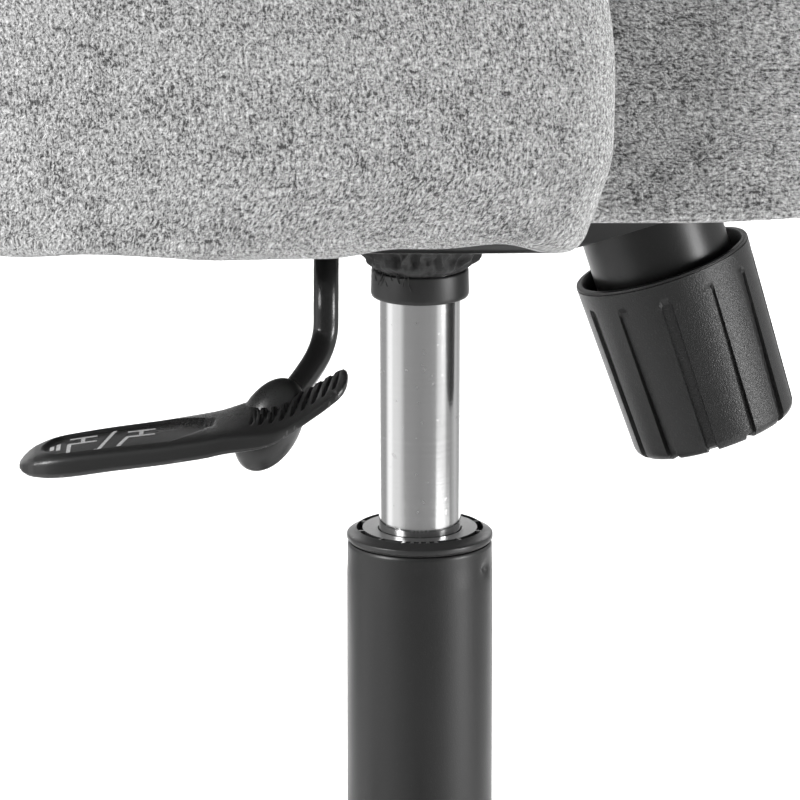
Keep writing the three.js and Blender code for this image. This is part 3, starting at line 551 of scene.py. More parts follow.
def make_column():
    levels = [0.118, *np.linspace(0.125, 0.248, 12), *np.linspace(0.250, TUBE_HIGH.z - 1 * MM, 32)]
    outer_tube = turned("outer_tube", soft_corners(
        [*beside(0, TUBE_LOW.z, (8, 0)), *beside(TUBE_RADIUS, TUBE_LOW.z, (-0.8, 0)),
         *[(TUBE_RADIUS, z) for z in levels], *beside(TUBE_RADIUS, TUBE_HIGH.z, (-0.3, 0), (-2, 0)),
         *beside(TUBE_RADIUS, TUBE_LOW.z, (-2, 4)), *beside(0, TUBE_LOW.z, (8, 4))], 0.5 * MM, steps=2), 192)
    points = coordinates(outer_tube)
    radius, around = cylindrical(points)
    away = np.hypot((around - DENT_TURN) * TUBE_RADIUS, points[:, 2] - DENT_Z) / DENT_REACH
    sunk = 0.18 * MM * smoothstep(TUBE_HIGH.z - 13 * MM, TUBE_HIGH.z - 4 * MM, points[:, 2])
    sunk += 1.0 * MM * np.exp(-away ** 2) + 0.35 * MM * np.exp(-(away / 2.4) ** 2)
    points[:, :2] *= (1 - (radius > TUBE_RADIUS - 1 * MM) * sunk / TUBE_RADIUS)[:, None]
    move_to(outer_tube, points)
    add_piece("outer_tube", outer_tube, "base", "black_paint", "outer_column_tube")
    make_cap()
    top = CYLINDER_HIGH.z - 0.2 * MM  # the pressed button stops just short of it
    cylinder = turned("cylinder", soft_corners(
        [*beside(0, CYLINDER_LOW.z, (5.3, 0)), *beside(CYLINDER_RADIUS, CYLINDER_LOW.z, (-1, 0), (0, 2)),
         *beside(CYLINDER_RADIUS, COLLAR_Z, (0, 18)), *beside(CYLINDER_RADIUS, top, (-0.9, 0)),
         *beside(0, top, (3.3, 0)), *beside(0, CYLINDER_HIGH.z, (3.3, -20), (5.3, -22))], 0.6 * MM), 192)
    add_piece("cylinder", cylinder, "gas_lift", "bright_steel", "gas_cylinder")
    ring = turned("ring", soft_corners(
        [*beside(CYLINDER_RADIUS, RING_LOW.z, (0.3, 0)), *beside(RING_HIGH.x, RING_LOW.z, (0, 0), (0.3, 1.2)),
         *beside(RING_HIGH.x, RING_HIGH.z, (0.1, 0)), *beside(CYLINDER_RADIUS, RING_HIGH.z, (0.3, 0))],
        0.7 * MM), 160)
    add_piece("ring", ring, "gas_lift", "black_plastic", "collar_ring")


def make_cap():
    """The bushing's cap: a flat annulus with a ring of slots at its edge, then a slope and a plain band."""
    level = CAP_HIGH.z
    outline = soft_corners(
        [*beside(CYLINDER_RADIUS, CAP_LOW.z, (0.3, 0)), *beside(TUBE_RADIUS, CAP_LOW.z, (-2.3, 0)),
         *beside(TUBE_RADIUS, TUBE_HIGH.z, (-2.3, 0.3), (-0.7, 0.3), (-0.5, 0.9), (0.05, 1.1)),
         *beside(TUBE_RADIUS, level, (0.05, -1.9), (-0.8, -1.4)), *beside(SLOT_OUT, level, (0.45, -0.3))],
        0.35 * MM, steps=3, closed=False)
    flat = [*beside(SLOT_OUT, level, (0.12, 0), (0, 0)), ((SLOT_OUT + SLOT_IN) / 2, level),
            *beside(SLOT_IN, level, (0, 0), (-0.12, 0)), *beside(0, level, (17.5, -0.05), (15.2, -0.2)),
            *beside(CYLINDER_RADIUS, level, (0.5, -0.25), (0.3, -0.45))]
    cap = turned("cap", [*outline, *flat], 360)
    points = coordinates(cap)
    radius, around = cylindrical(points)
    bridged = np.min([np.abs(np.abs(np.degrees(around)) - b) for b in BRIDGES], axis=0) < BRIDGE_HALF
    slotted = (radius > SLOT_IN - 0.01 * MM) & (radius < SLOT_OUT + 0.01 * MM) & ~bridged
    points[:, 2] -= SLOT_DEPTH * (slotted & (points[:, 2] > level - 0.1 * MM))
    move_to(cap, points)
    shade(cap, 35)
    add_piece("cap", cap, "base", "cap_plastic", "column_bushing")


# ---- tension knob

KNOB_AXIS = Vector(JOINTS["knob_turn"]["axis"]).normalized()
KNOB_PLACE = (Matrix.Translation(JOINTS["knob_turn"]["pos_m"])
              @ Matrix.Rotation(-math.atan2(KNOB_AXIS.y, KNOB_AXIS.z), 4, "X"))  # origin in the rim's middle
KNOB_LENGTH = 62.6 * MM
KNOB_FOOT = -KNOB_LENGTH - 0.6 * MM
KNOB_RIM_RADIUS = 30.5 * MM
KNOB_FOOT_RADIUS = 28.2 * MM
GROOVES = 12
GROOVE_STEPS = 60  # mesh steps from one groove to the next
GROOVE_HALF = 7.5  # half a groove's width in mesh steps
GROOVE_TOP = -7.2 * MM
KNOB_STEP = 2 * math.pi / (GROOVES * GROOVE_STEPS)
GROOVE_TURN = -8 * KNOB_STEP  # where the first groove lies, from the photographed side
HOUSING_RADIUS, HOUSING_TOP, HOUSING_LOW = 24 * MM, 25.7 * MM, -48 * MM


def knob_side(z):
    """The knob's outer radius at a height."""
    return KNOB_FOOT_RADIUS + (KNOB_RIM_RADIUS - KNOB_FOOT_RADIUS) * (z - KNOB_FOOT) / KNOB_LENGTH


def make_knob():
    under = [*beside(0, KNOB_FOOT, (6, 0.8), (6.4, 0.2)), *beside(KNOB_FOOT_RADIUS, KNOB_FOOT, (-6.5, 0))]
    round_foot = beside(KNOB_FOOT_RADIUS, KNOB_FOOT, *[
        (3.7 * math.sin(a) - 3.6, 3.6 - 3.6 * math.cos(a)) for a in np.linspace(0.15, 1.5, 10)])
    side = [(knob_side(z), z) for z in np.linspace(KNOB_FOOT + 4.5 * MM, -1.6 * MM, 56)]
    rim = beside(KNOB_RIM_RADIUS, 0, (0, -1.2), (-0.32, -1.05), (-0.32, -0.85), (-0.05, -0.7), (-0.25, -0.15),
                 (-0.8, 0), (-1.9, 0), (-2.4, -0.6), (-2.7, -12))
    inside = [*beside(KNOB_FOOT_RADIUS, KNOB_FOOT, (-2.4, 6), (-4.4, 4)),
              *beside(0, KNOB_FOOT, (9, 4), (9, 12), (4.3, 12), (4.3, 6), (1, 6))]
    knob = turned("knob", [*under, *round_foot, *side, *rim, *inside], GROOVES * GROOVE_STEPS, ring=False)
    cut_grooves(knob)
    knob.transform(KNOB_PLACE)
    shade(knob, 50)
    add_piece("knob", knob, "knob", "knob_plastic", "tension_knob")
    housing = turned("housing", soft_corners(
        [*beside(HOUSING_RADIUS, HOUSING_LOW, (-2, 0), (0, 0)), (HOUSING_RADIUS, HOUSING_TOP),
         *beside(0, HOUSING_TOP, (7, 0), (7, -2.5)), *beside(HOUSING_RADIUS, HOUSING_TOP, (-2, -2.5))],
        0.8 * MM), 160)
    housing.transform(KNOB_PLACE)
    add_piece("housing", housing, "gas_lift", "black_paint", "spring_housing")


def cut_grooves(knob):
    """Presses in grooves with round tops, which run out over the knob's foot."""
    points = coordinates(knob)
    height = points[:, 2].copy()
    radius, around = cylindrical(points)
    pitch = GROOVE_STEPS * KNOB_STEP
    across = np.abs((around - GROOVE_TURN + pitch / 2) % pitch - pitch / 2) / KNOB_STEP
    round_top = 2.1 * MM
    up = np.maximum(height - (GROOVE_TOP - round_top), 0) / round_top * 7
    outside = radius > KNOB_FOOT_RADIUS - 5.5 * MM
    outside &= (radius > knob_side(height) - 1.2 * MM) | (height < KNOB_FOOT + 5.2 * MM)
    depth = 0.95 * MM + 0.75 * MM * (1 - smoothstep(KNOB_FOOT, GROOVE_TOP, height))
    cut = outside * depth * (1 - smoothstep(GROOVE_HALF - 0.49, GROOVE_HALF + 0.49, np.hypot(across, up)))
    points[:, :2] *= (1 - cut / np.maximum(radius, 1 * MM))[:, None]
    points[:, 2] += (height < KNOB_FOOT + 1.5 * MM) * cut * 0.7
    move_to(knob, points)


# ---- lever

LEVER_RADIUS = 4 * MM
LEVER_Y, LEVER_Z = JOINTS["lever_lift"]["pos_m"][1:]
HANDLE_X = -0.235
BALL_MIDDLE = Vector((HANDLE_X + 12 * MM, 0.0473, COLLAR_Z + 12.8 * MM))
ARM_Z = CYLINDER_HIGH.z + 7.8 * MM + LEVER_RADIUS
LEVER_POINTS = [
    (0, -0.002, ARM_Z), (0, 0.012, ARM_Z), (-0.002, 0.023, ARM_Z - 0.002), (-0.009, 0.029, LEVER_Z + 0.0015),
    (-0.020, LEVER_Y, LEVER_Z), (-0.070, LEVER_Y, LEVER_Z), (-0.172, LEVER_Y, LEVER_Z),
    (-0.185, LEVER_Y, LEVER_Z - 0.004), (-0.190, LEVER_Y, LEVER_Z - 0.014),
    (-0.191, 0.0303, COLLAR_Z + 0.034), (-0.196, 0.0325, COLLAR_Z + 0.028),
    (-0.2145, 0.0412, COLLAR_Z + 0.0192), tuple(BALL_MIDDLE)]
PADDLE = MM * np.array([  # y, height over the collar, half width, thickness
    (22.8, 30.6, 1.6, 1.0), (23.2, 30.3, 4.6, 2.6), (24.2, 29.6, 7.2, 3.6), (26.0, 28.3, 9.0, 3.9),
    (28.0, 26.9, 9.8, 3.9), (31.0, 24.8, 10.2, 3.8), (36.0, 21.6, 11.0, 3.8), (40.5, 19.2, 12.8, 4.2),
    (45.0, 17.4, 15.4, 5.2), (54.0, 15.4, 17.4, 7.0), (66.0, 12.5, 17.9, 7.8), (80.0, 10.2, 17.4, 7.8),
    (96.0, 8.1, 16.2, 8.2), (108.0, 6.2, 14.9, 8.6), (113.0, 5.5, 13.9, 8.4), (117.0, 4.8, 12.4, 7.6),
    (119.5, 4.3, 10.6, 6.6), (121.5, 3.8, 8.4, 5.2), (123.2, 3.4, 5.6, 3.4), (124.4, 3.2, 2.4, 1.2)])
RIB_PITCH = 3.15 * MM
RELIEF = 1.2 * MM  # depth of the printed face and of the grooves between the ribs
PADDLE_SQUARE = 0.46  # how full the paddle's cross-section is: 1 would be an ellipse
BALL_LEAN = 0.46  # turn of the ball boss about X
INK = 0.06 * MM  # how far the print stands above the face


def paddle_lines():
    """The paddle's height, half width and thickness as smoothed lines along y."""
    fine = np.linspace(PADDLE[0, 0], PADDLE[-1, 0], 1200)
    window = np.hanning(151) / np.hanning(151).sum()
    share = smoothstep(0.0250, 0.0300, fine) * (1 - smoothstep(0.117, 0.121, fine))  # none at the ends
    smooth = [fine]
    for column in (1, 2, 3):
        line = np.interp(fine, PADDLE[:, 0], PADDLE[:, column])
        wide = np.convolve(np.pad(line, 75, mode="reflect", reflect_type="odd"), window, mode="valid")
        smooth.append(line * (1 - share) + wide * share)
    return smooth


PADDLE_LINES = paddle_lines()


def paddle_at(y):
    """Height of the paddle's middle, half width and thickness at a place along it."""
    height, half, thick = [np.interp(y, PADDLE_LINES[0], line) for line in PADDLE_LINES[1:]]
    return COLLAR_Z + height, half, thick


def paddle_relief(x, y):
    """What is added to the paddle's top: a printed face sunk inside a rim, and ribs at the thumb's end."""
    across = np.clip((x - HANDLE_X) / paddle_at(y)[1], -1, 1)
    face_start = 0.0635 + 0.013 * (np.abs(across) / 0.72) ** 1.6
    face_end = 1 - smoothstep(0.1160, 0.1180, y + 0.010 * across ** 2)
    sunk = RELIEF * (1 - smoothstep(0.70, 0.76, np.abs(across)))
    sunk = sunk * smoothstep(face_start, face_start + 0.0015, y) * face_end
    slant = y + (x - HANDLE_X) * 0.20
    thumb = smoothstep(0.0250, 0.0265, y) * (1 - smoothstep(0.0505, 0.0520, slant))
    phase = (slant / RIB_PITCH) % 1.0
    groove = smoothstep(0.05, 0.24, phase) * (1 - smoothstep(0.36, 0.58, phase))
    return -sunk - RELIEF * thumb * groove * smoothstep(-0.58, -0.34, across)


def paddle_roll(x, y):
    """The thumb's end is rolled a little, far edge up."""
    return (x - HANDLE_X) * 0.15 * (1 - smoothstep(0.044, 0.064, y))


def paddle_top(x, y):
    middle, half, thick = paddle_at(y)
    across = np.clip(np.abs(x - HANDLE_X) / half, 0, 1)
    crown = thick / 2 * (1 - across ** (2 / PADDLE_SQUARE)) ** (PADDLE_SQUARE / 2)
    return middle + crown + paddle_relief(x, y) + paddle_roll(x, y)


def make_lever():
    rod = tube("rod", smooth_path(LEVER_POINTS, 16), LEVER_RADIUS, 40)
    add_piece("rod", rod, "lever", "lever_paint", "lever_rod")
    angles = np.linspace(0, 2 * math.pi, 96, endpoint=False)
    c, s = np.cos(angles), np.sin(angles)
    rows = []
    for y in (*np.linspace(0.0228, 0.0250, 10), *np.linspace(0.0253, 0.0560, 190),
              *np.linspace(0.0565, 0.1150, 110), *np.linspace(0.1153, 0.1243, 30)):
        middle, half, thick = paddle_at(y)
        x = HANDLE_X + half * np.sign(c) * np.abs(c) ** PADDLE_SQUARE
        z = middle + thick / 2 * np.sign(s) * np.abs(s) ** PADDLE_SQUARE
        z = z + paddle_relief(x, y) * smoothstep(0.0, 0.55, s) + paddle_roll(x, y)
        rows.append([(across, y, up) for across, up in zip(x, z)])
    boss = bmesh.new()
    bmesh.ops.create_uvsphere(boss, u_segments=64, v_segments=40, radius=9.2 * MM)
    lean = Matrix.Translation(BALL_MIDDLE) @ Matrix.Rotation(BALL_LEAN, 4, "X")
    bmesh.ops.transform(boss, matrix=lean @ Matrix.Diagonal((1, 1.05, 1.72, 1)), verts=boss.verts)
    ball = bpy.data.meshes.new("ball")
    boss.to_mesh(ball)
    boss.free()
    handle = united("handle", grid_mesh("paddle", rows), ball)
    add_piece("handle", handle, "lever", "handle_plastic", "lever_handle")
    make_marks()


def make_marks():
    """Two plain pictograms of a seat, with its back upright and leaning, a line between, and two bars."""

    def seat(at, lean):
        return [[(at + 4.5 + lean, -8), (at + 4.5, 1.5), (at - 4, 1.5)], [(at + 0.3, 1.5), (at + 0.3, 7)],
                [(at + 4.5, 7.5), (at - 4, 7.5)]]

    bars = [[(112.3, -3.5), (112.3, 3.5)], [(114.3, -2), (114.3, 2.5)]]
    strokes = [ribbon(line, 1.3 * MM) for line in (*seat(104.5, 0), *seat(86.5, 2.5), *bars)]
    divider = ribbon([(100.2, -12), (95, 11)], 1.2 * MM)
    add_piece("handle_marks", joined_mesh("handle_marks", [divider, *strokes]), "lever", "printed_mark")


def ribbon(line, breadth):
    """A line of ink on the handle's top through points in millimetres, (y, distance from its middle line)."""
    dense = [point for start, end in zip(line, line[1:])
             for point in np.linspace(start, end, max(int(math.dist(start, end) / 0.8), 1), endpoint=False)]
    dense = np.array([*dense, line[-1]]) * MM
    ends = np.array([dense[0], *dense, dense[-1]])
    rows = []
    for (y, x), (dy, dx) in zip(dense, ends[2:] - ends[:-2]):
        half = breadth / 2 / math.hypot(dy, dx)
        edges = [(HANDLE_X + x + dy * half * way, y - dx * half * way) for way in (1, -1)]
        row = [(px, py, paddle_top(px, py)) for px, py in edges]
        rows.append([*[(px, py, z + INK) for px, py, z in row],
                     *[(px, py, z - 2.5 * INK) for px, py, z in row[::-1]]])
    return grid_mesh("ribbon", rows)


# ---- boot

SLEEVE = 0.45 * MM  # thickness of the gathered cloth


def make_boot():
    """A thin gathered sleeve above the ring, crumpled into folds, with a frayed edge."""
    low, high = RING_HIGH.z + 0.35 * MM, BOOT_HIGH.z
    rows = []
    for t in np.linspace(0, 1, 46):
        funnel = 15.8 + 3.4 * smoothstep(0.0, 0.20, t) + 6.8 * smoothstep(0.15, 1.0, t)
        gather = math.sin(math.pi * min(t * 1.5, 1.0))
        row = []
        for a in np.linspace(0, 2 * math.pi, 420, endpoint=False):
            turn = Vector((math.cos(a) * 2.4, math.sin(a) * 2.4, t * 1.3))
            crush = 1.0 - abs(noise.noise(turn * 1.7 + Vector((3, 1, 7)))) * 3.4
            fold = math.sin(11 * a + 3.0 * noise.noise(turn) + 2.0 * t)
            fine = noise.noise(turn * 5.5 + Vector((0, 9, 2)))
            r = max(funnel + (1.1 * fold + 1.5 * crush - 0.6) * gather + 0.8 * fine * (0.3 + t), 14.9) * MM
            row.append((r, a, low + (high - low) * t + 0.9 * MM * noise.noise(turn * 2.6) * t))
        rows.append(row)
    rows += [[(r - SLEEVE, a, z) for r, a, z in row] for row in rows[::-1]]
    rows = [[(r * math.cos(a), r * math.sin(a), z) for r, a, z in row] for row in rows]
    mesh = grid_mesh("boot", rows, wrap_rows=True)
    boot = add_piece("boot", mesh, "gas_lift", "black_cloth", "cylinder_boot")
    threads = make_fray()


def make_fray():
    """Loose threads of the sleeve hanging over the ring, most of them on the lever's side."""
    draw = np.random.default_rng(11)
    strands = []
    for _ in range(26):
        a = math.radians(draw.uniform(*((330, 382) if draw.random() < 0.25 else (104, 168))))
        length = draw.uniform(1.5, 5.5) * MM
        r = RING_HIGH.x + draw.uniform(0.2, 0.7) * MM
        top = RING_HIGH.z + draw.uniform(0.6, 2.2) * MM
        wander = draw.uniform(-0.25, 0.25)
        path = []
        for t in np.linspace(0, 1, 7):
            reach = r - 0.96 * MM * (1 - t) ** 2
            turn = a + wander * t * t * 0.5
            path.append(Vector((reach * math.cos(turn), reach * math.sin(turn), top - length * t)))
        strands.append(tube("strand", path, draw.uniform(0.10, 0.2) * MM, 6))
    return add_piece("boot_fray", joined_mesh("boot_fray", strands), "gas_lift", "black_cloth")


# ---- upholstery

SIDE_X = 0.276  # middle of the shell at the sides
SHELL_BACK = 0.246
SHELL_FRONT = -0.060
CURVE_START = 0.020  # y where the sides start to curve round the back
CURVE_POWER = 2 / 2.4
FRONT_REACH = 0.306  # how far behind the front edge its lean and lift fade out
SHELL_END = 0.016  # how far from each end the shell's edge is rounded off
SHELL_STRAIGHT = 0.020  # how far from each end the shell's line is straight
SHELL_HALF = 0.0135  # half the shell's thickness at the sides
SHELL_HEIGHT = 0.365
ARM_TOP = 0.648
ARM_CORNER, ARM_DROP = 0.048, 0.050  # how far back the arm's top is drawn down at its front, and how far down
BACK_RISE = 0.152  # how far the back's top is above the arm's
FOOT_CORNER = 0.007
SECTION_STEPS = (44, 7, 9)  # points up each side, round a lower corner and round half the rim
RIM_END = (SECTION_STEPS[0] - 1) + 2 * (SECTION_STEPS[2] - 1)
INNER_END = RIM_END + SECTION_STEPS[0] - 1
SEAT_HALF = 0.260
SEAT_FRONT = -0.302
SEAT_REAR = 0.2245
SEAT_MIDDLE = np.array(Vector((0, -0.038)))
SEAT_STEPS = 420  # points round the cushion
SEAT_GIRTH = 1.53  # length of the weave round the cushion's side
SEAT_UNDERSIDE = 0.4566
SEAT_PROFILE = [  # inset from the plan's edge, height
    (0.0225, SEAT_UNDERSIDE), (0.0225, 0.4490), (0.0225, 0.4428), (0.0205, 0.4415), (0.0120, 0.4412),
    (0.0040, 0.4425), (0.0012, 0.4450), (0.0010, 0.4500),
    *[(0.0012, z) for z in np.linspace(0.4560, 0.5180, 12)],
    (0.0018, 0.5240), (0.0040, 0.5300), (0.0080, 0.5350), (0.0140, 0.5395), (0.0220, 0.5430),
    (0.0320, 0.5455), (0.0440, 0.5475), (0.0580, 0.5490)]
SIDE_LOW, SIDE_HIGH = 0.4425, 0.533  # the profile's rows between these run round the cushion's side
SEAT_TOP = 0.5500  # at the crown's edge
CROWN = 0.0045  # how far the crown's middle is above its edge
WELT_Z = 0.5334
PRESSURE = {
    "quality": 4, "mass": 0.25, "use_pressure": True, "uniform_pressure_force": 4, "tension_stiffness": 30,
    "compression_stiffness": 30, "shear_stiffness": 8, "bending_stiffness": 2}
FRAMES = 20


def back_curve(half_width, back, count):
    """The rounded rear of a plan outline, from the -X side round to the +X side."""
    line = []
    for angle in np.linspace(math.pi, 0, count + 1):
        c, s = math.cos(angle), math.sin(angle)
        line.append((half_width * math.copysign(abs(c) ** CURVE_POWER, c),
                     CURVE_START + (back - CURVE_START) * abs(s) ** CURVE_POWER))
    return line


def distances(line):
    """How far along a line each of its points is."""
    return np.concatenate([[0], np.cumsum(np.hypot(*np.diff(line, axis=0).T))])


def resampled(line, places):
    """Points and unit directions at the given distances along a line of (x, y) points."""
    lengths = distances(line)

    def points_at(spots):
        return np.stack([np.interp(spots, lengths, values) for values in np.transpose(line)], axis=1)

    way = points_at(places + 0.002) - points_at(places - 0.002)
    return points_at(places), way / np.hypot(*way.T)[:, None]


def flare(z, backness):
    """How far the shell leans outward at a height."""
    return (z - SHELL_BOTTOM) / SHELL_HEIGHT * (0.011 + 0.031 * backness)


def front_lean(z):
    return 0.009 * (1 - smoothstep(0.435, 0.471, z)) + 0.046 * smoothstep(0.487, 0.688, z)


def add_weave(mesh, values, domain="CORNER"):
    layer = mesh.attributes.new("weave", "FLOAT_VECTOR", domain)
    layer.data.foreach_set("vector", np.asarray(values, float).ravel())


def inflate(piece, held, cap):
    """Inflates a closed mesh as cloth and applies the result, with each point's travel limited to a cap.

    held is how far each point is kept from moving, from 0, free, to 1, fixed.
    """
    start = coordinates(piece.data)
    cloth = piece.modifiers.new("cloth", "CLOTH")
    for name, value in PRESSURE.items():
        setattr(cloth.settings, name, value)
    cloth.settings.effector_weights.gravity = 0
    cloth.collision_settings.use_collision = False
    cloth.point_cache.frame_start, cloth.point_cache.frame_end = 1, FRAMES
    for number in range(1, FRAMES + 1):
        bpy.context.scene.frame_set(number)
    made = with_modifiers(piece)
    travel = coordinates(made) - start
    piece.modifiers.clear()
    bpy.context.scene.frame_set(1)
    share = np.minimum(1.0, cap / np.maximum(np.linalg.norm(travel, axis=1), 1e-9)) * (1 - held)
    move_to(piece.data, start + travel * share[:, None])
    bpy.data.meshes.remove(made)


def roughen(mesh, *fields, free=lambda z: 1):
    """Soft unevenness of a hand-pulled cover, of several (size, seed, height in millimetres)."""
    points = coordinates(mesh)
    height = sum(noise_field(points, size, seed) * depth * MM for size, seed, depth in fields)
    swell(mesh, height * free(points[:, 2]))


def padded_out(piece):
    """One level finer, and smooth."""
    finer = piece.modifiers.new("finer", "SUBSURF")
    finer.levels = finer.render_levels = 1
    made = with_modifiers(piece)
    piece.modifiers.clear()
    piece.data = made
    made.shade_smooth()


def make_shell():
    """The wrap-round back's padding, made a little slimmer and lower than the CAD shell and then inflated."""
    side_line = [(-SIDE_X, y) for y in np.linspace(SHELL_FRONT, CURVE_START, 17)][:-1]
    line = [*side_line, *back_curve(SIDE_X, SHELL_BACK, 400), *[(-x, y) for x, y in side_line[::-1]]]
    total = distances(line)[-1]
    turn = np.radians(np.linspace(4, 90, 9))
    near_end = SHELL_END * (1 - np.cos(turn))
    middle = np.linspace(SHELL_END, total - SHELL_END, 158)[1:-1]
    places = np.concatenate([near_end, middle, total - near_end[::-1]])
    edges = np.concatenate([np.sin(turn), np.ones(len(middle)), np.sin(turn[::-1])])
    at, way = resampled(line, np.clip(places, 0.0021, total - 0.0021))
    rows, sides, upright = [], [], []
    for place, edge, (x, y), (dx, dy) in zip(places, edges, at, way):
        inner = min(place, total - place)
        if inner < SHELL_STRAIGHT:
            side = -1 if place < SHELL_STRAIGHT else 1
            x, y, dx, dy = side * SIDE_X, SHELL_FRONT + inner, 0.0, -side
        backness = smoothstep(CURVE_START, SHELL_BACK, y)
        frontness = 1 - smoothstep(0, FRONT_REACH, abs(y - SHELL_FRONT))
        half = (SHELL_HALF + 0.004 * backness) * (0.10 + 0.90 * edge) - 1.2 * MM
        drop = ARM_DROP * (1 - min(inner / ARM_CORNER, 1)) ** 2
        top = ARM_TOP - drop + BACK_RISE * smoothstep(SHELL_FRONT, SHELL_BACK, y) - 1.5 * MM
        foot = 1 - min(inner / FOOT_CORNER, 1)
        bottom = SHELL_BOTTOM + FOOT_CORNER * (1 - math.sqrt(1 - foot ** 2)) + 0.2 * MM
        hem = shell_hem(y + 0.009 * frontness) + 0.5 * MM * noise.noise(Vector((place * 30, 8, 0)))
        section = shell_section(half, bottom, top, min(0.010, half * 0.95), half * 0.98)
        run = distances([*section, section[0]])
        run[INNER_END:] -= run[-1]
        out = Vector((-dy, dx))
        row = []
        for (side, z), along in zip(section, run):
            lift = hem * (1 - smoothstep(bottom + 0.004, bottom + 0.055, z))
            offset = side + flare(z + lift, backness)
            row.append((x + out.x * offset, y + front_lean(z + lift) * frontness + out.y * offset, z + lift))
            sides.append(side / half)
            upright.append(section[0][1] + along + lift)
        rows.append(row)
    mesh = grid_mesh("shell", rows)
    add_weave(mesh, shell_weave(mesh, places, edges, total, sides, upright))
    shell = add_piece("shell", mesh, "seat", "tweed", "back_shell")
    inflate(shell, np.zeros(len(mesh.vertices)), 2.6 * MM)
    roughen(shell.data, (0.055, 2.0, 0.5), (0.016, 5.0, 0.175))
    padded_out(shell)


def shell_hem(y):
    """How far the lower edge lies above the CAD shell's: it hangs at the sides, less so near the front."""
    hem = -1.7 - 1.7 * smoothstep(0.070, 0.130, y) + 3.2 * (1 - smoothstep(0.006, 0.028, y))
    return (hem + 2.0 * math.exp(-((y + 0.025) / 0.011) ** 2)) * MM


def shell_section(half, bottom, top, low, high):
    """The upright outline of the padding, as (offset outward, height), with its low and high corner radii."""
    up, low_steps, high_steps = SECTION_STEPS
    side = np.linspace(bottom + low, top - high, up)

    def corner(across, height, radius, quarter, steps):
        turns = np.linspace(quarter * math.pi / 2, (quarter + 1) * math.pi / 2, steps)[:-1]
        return [(across + radius * math.cos(a), height + radius * math.sin(a)) for a in turns]

    return [*[(half, z) for z in side[:-1]],
            *corner(half - high, top - high, high, 0, high_steps),
            *corner(high - half, top - high, high, 1, high_steps),
            *[(-half, z) for z in side[:0:-1]],
            *corner(low - half, bottom + low, low, 2, low_steps),
            (low - half, bottom), (0.0, bottom),
            *corner(half - low, bottom + low, low, 3, low_steps)]


def shell_weave(mesh, places, edges, total, sides, upright):
    """Weave coordinates for the cover, which runs over the rim and round each front end to inner seams; the
    third value paints paler sheen and bounce light on the front ends and the lower rim.
    """
    count, last = len(sides) // len(places), len(places) - 1
    cap_rows = int((edges < 1).sum()) // 2
    inner = np.minimum(places, total - places)
    left = distances(np.stack([inner, SHELL_HALF * edges], axis=1)[:cap_rows + 1])
    values = np.zeros((len(mesh.loops), 3))
    heights = coordinates(mesh)[:, 2]
    for face in mesh.polygons:
        rows_in = [vertex // count for vertex in face.vertices]
        columns = [vertex % count for vertex in face.vertices]
        inner_side = min(columns) >= RIM_END and max(columns) <= INNER_END
        near_end, far_end = max(rows_in) <= cap_rows, min(rows_in) >= last - cap_rows
        for loop, vertex, row in zip(face.loop_indices, face.vertices, rows_in):
            u = places[row]
            if near_end or far_end:
                from_tip = left[min(row, last - row)] * np.clip(sides[vertex], -1, 1)
                turn = places[cap_rows] - left[-1] + from_tip
                u = turn if near_end else total - turn
            # edge and rim mark where paler sheen and bounce light are painted: the front ends and the lower
            # rim
            edge = 1 - smoothstep(0.003, 0.017, inner[row])
            rim = 1 - smoothstep(SHELL_BOTTOM, SHELL_BOTTOM + 0.010, heights[vertex])
            values[loop] = (u, 3 - heights[vertex] if inner_side else upright[vertex], max(edge, rim))
    return values


def seat_outline(inset, spread, count=SEAT_STEPS):
    """The cushion's plan, closed, from the middle of the front edge round by the -X side."""
    radius = 0.062 - min(inset, 0.031)
    cx, cy = SEAT_HALF - inset - radius, SEAT_FRONT + inset + radius
    left_corner = [(-cx + radius * math.cos(a), cy + radius * math.sin(a))
                   for a in np.linspace(1.5 * math.pi, math.pi, 24)]
    back = back_curve(SEAT_HALF - inset, SEAT_REAR - inset + spread, 240)
    front = (0, SEAT_FRONT + inset)
    line = [front, *left_corner, *back, *[(-x, y) for x, y in left_corner[::-1]], front]
    return resampled(line, np.linspace(0, distances(line)[-1], count, endpoint=False))[0]


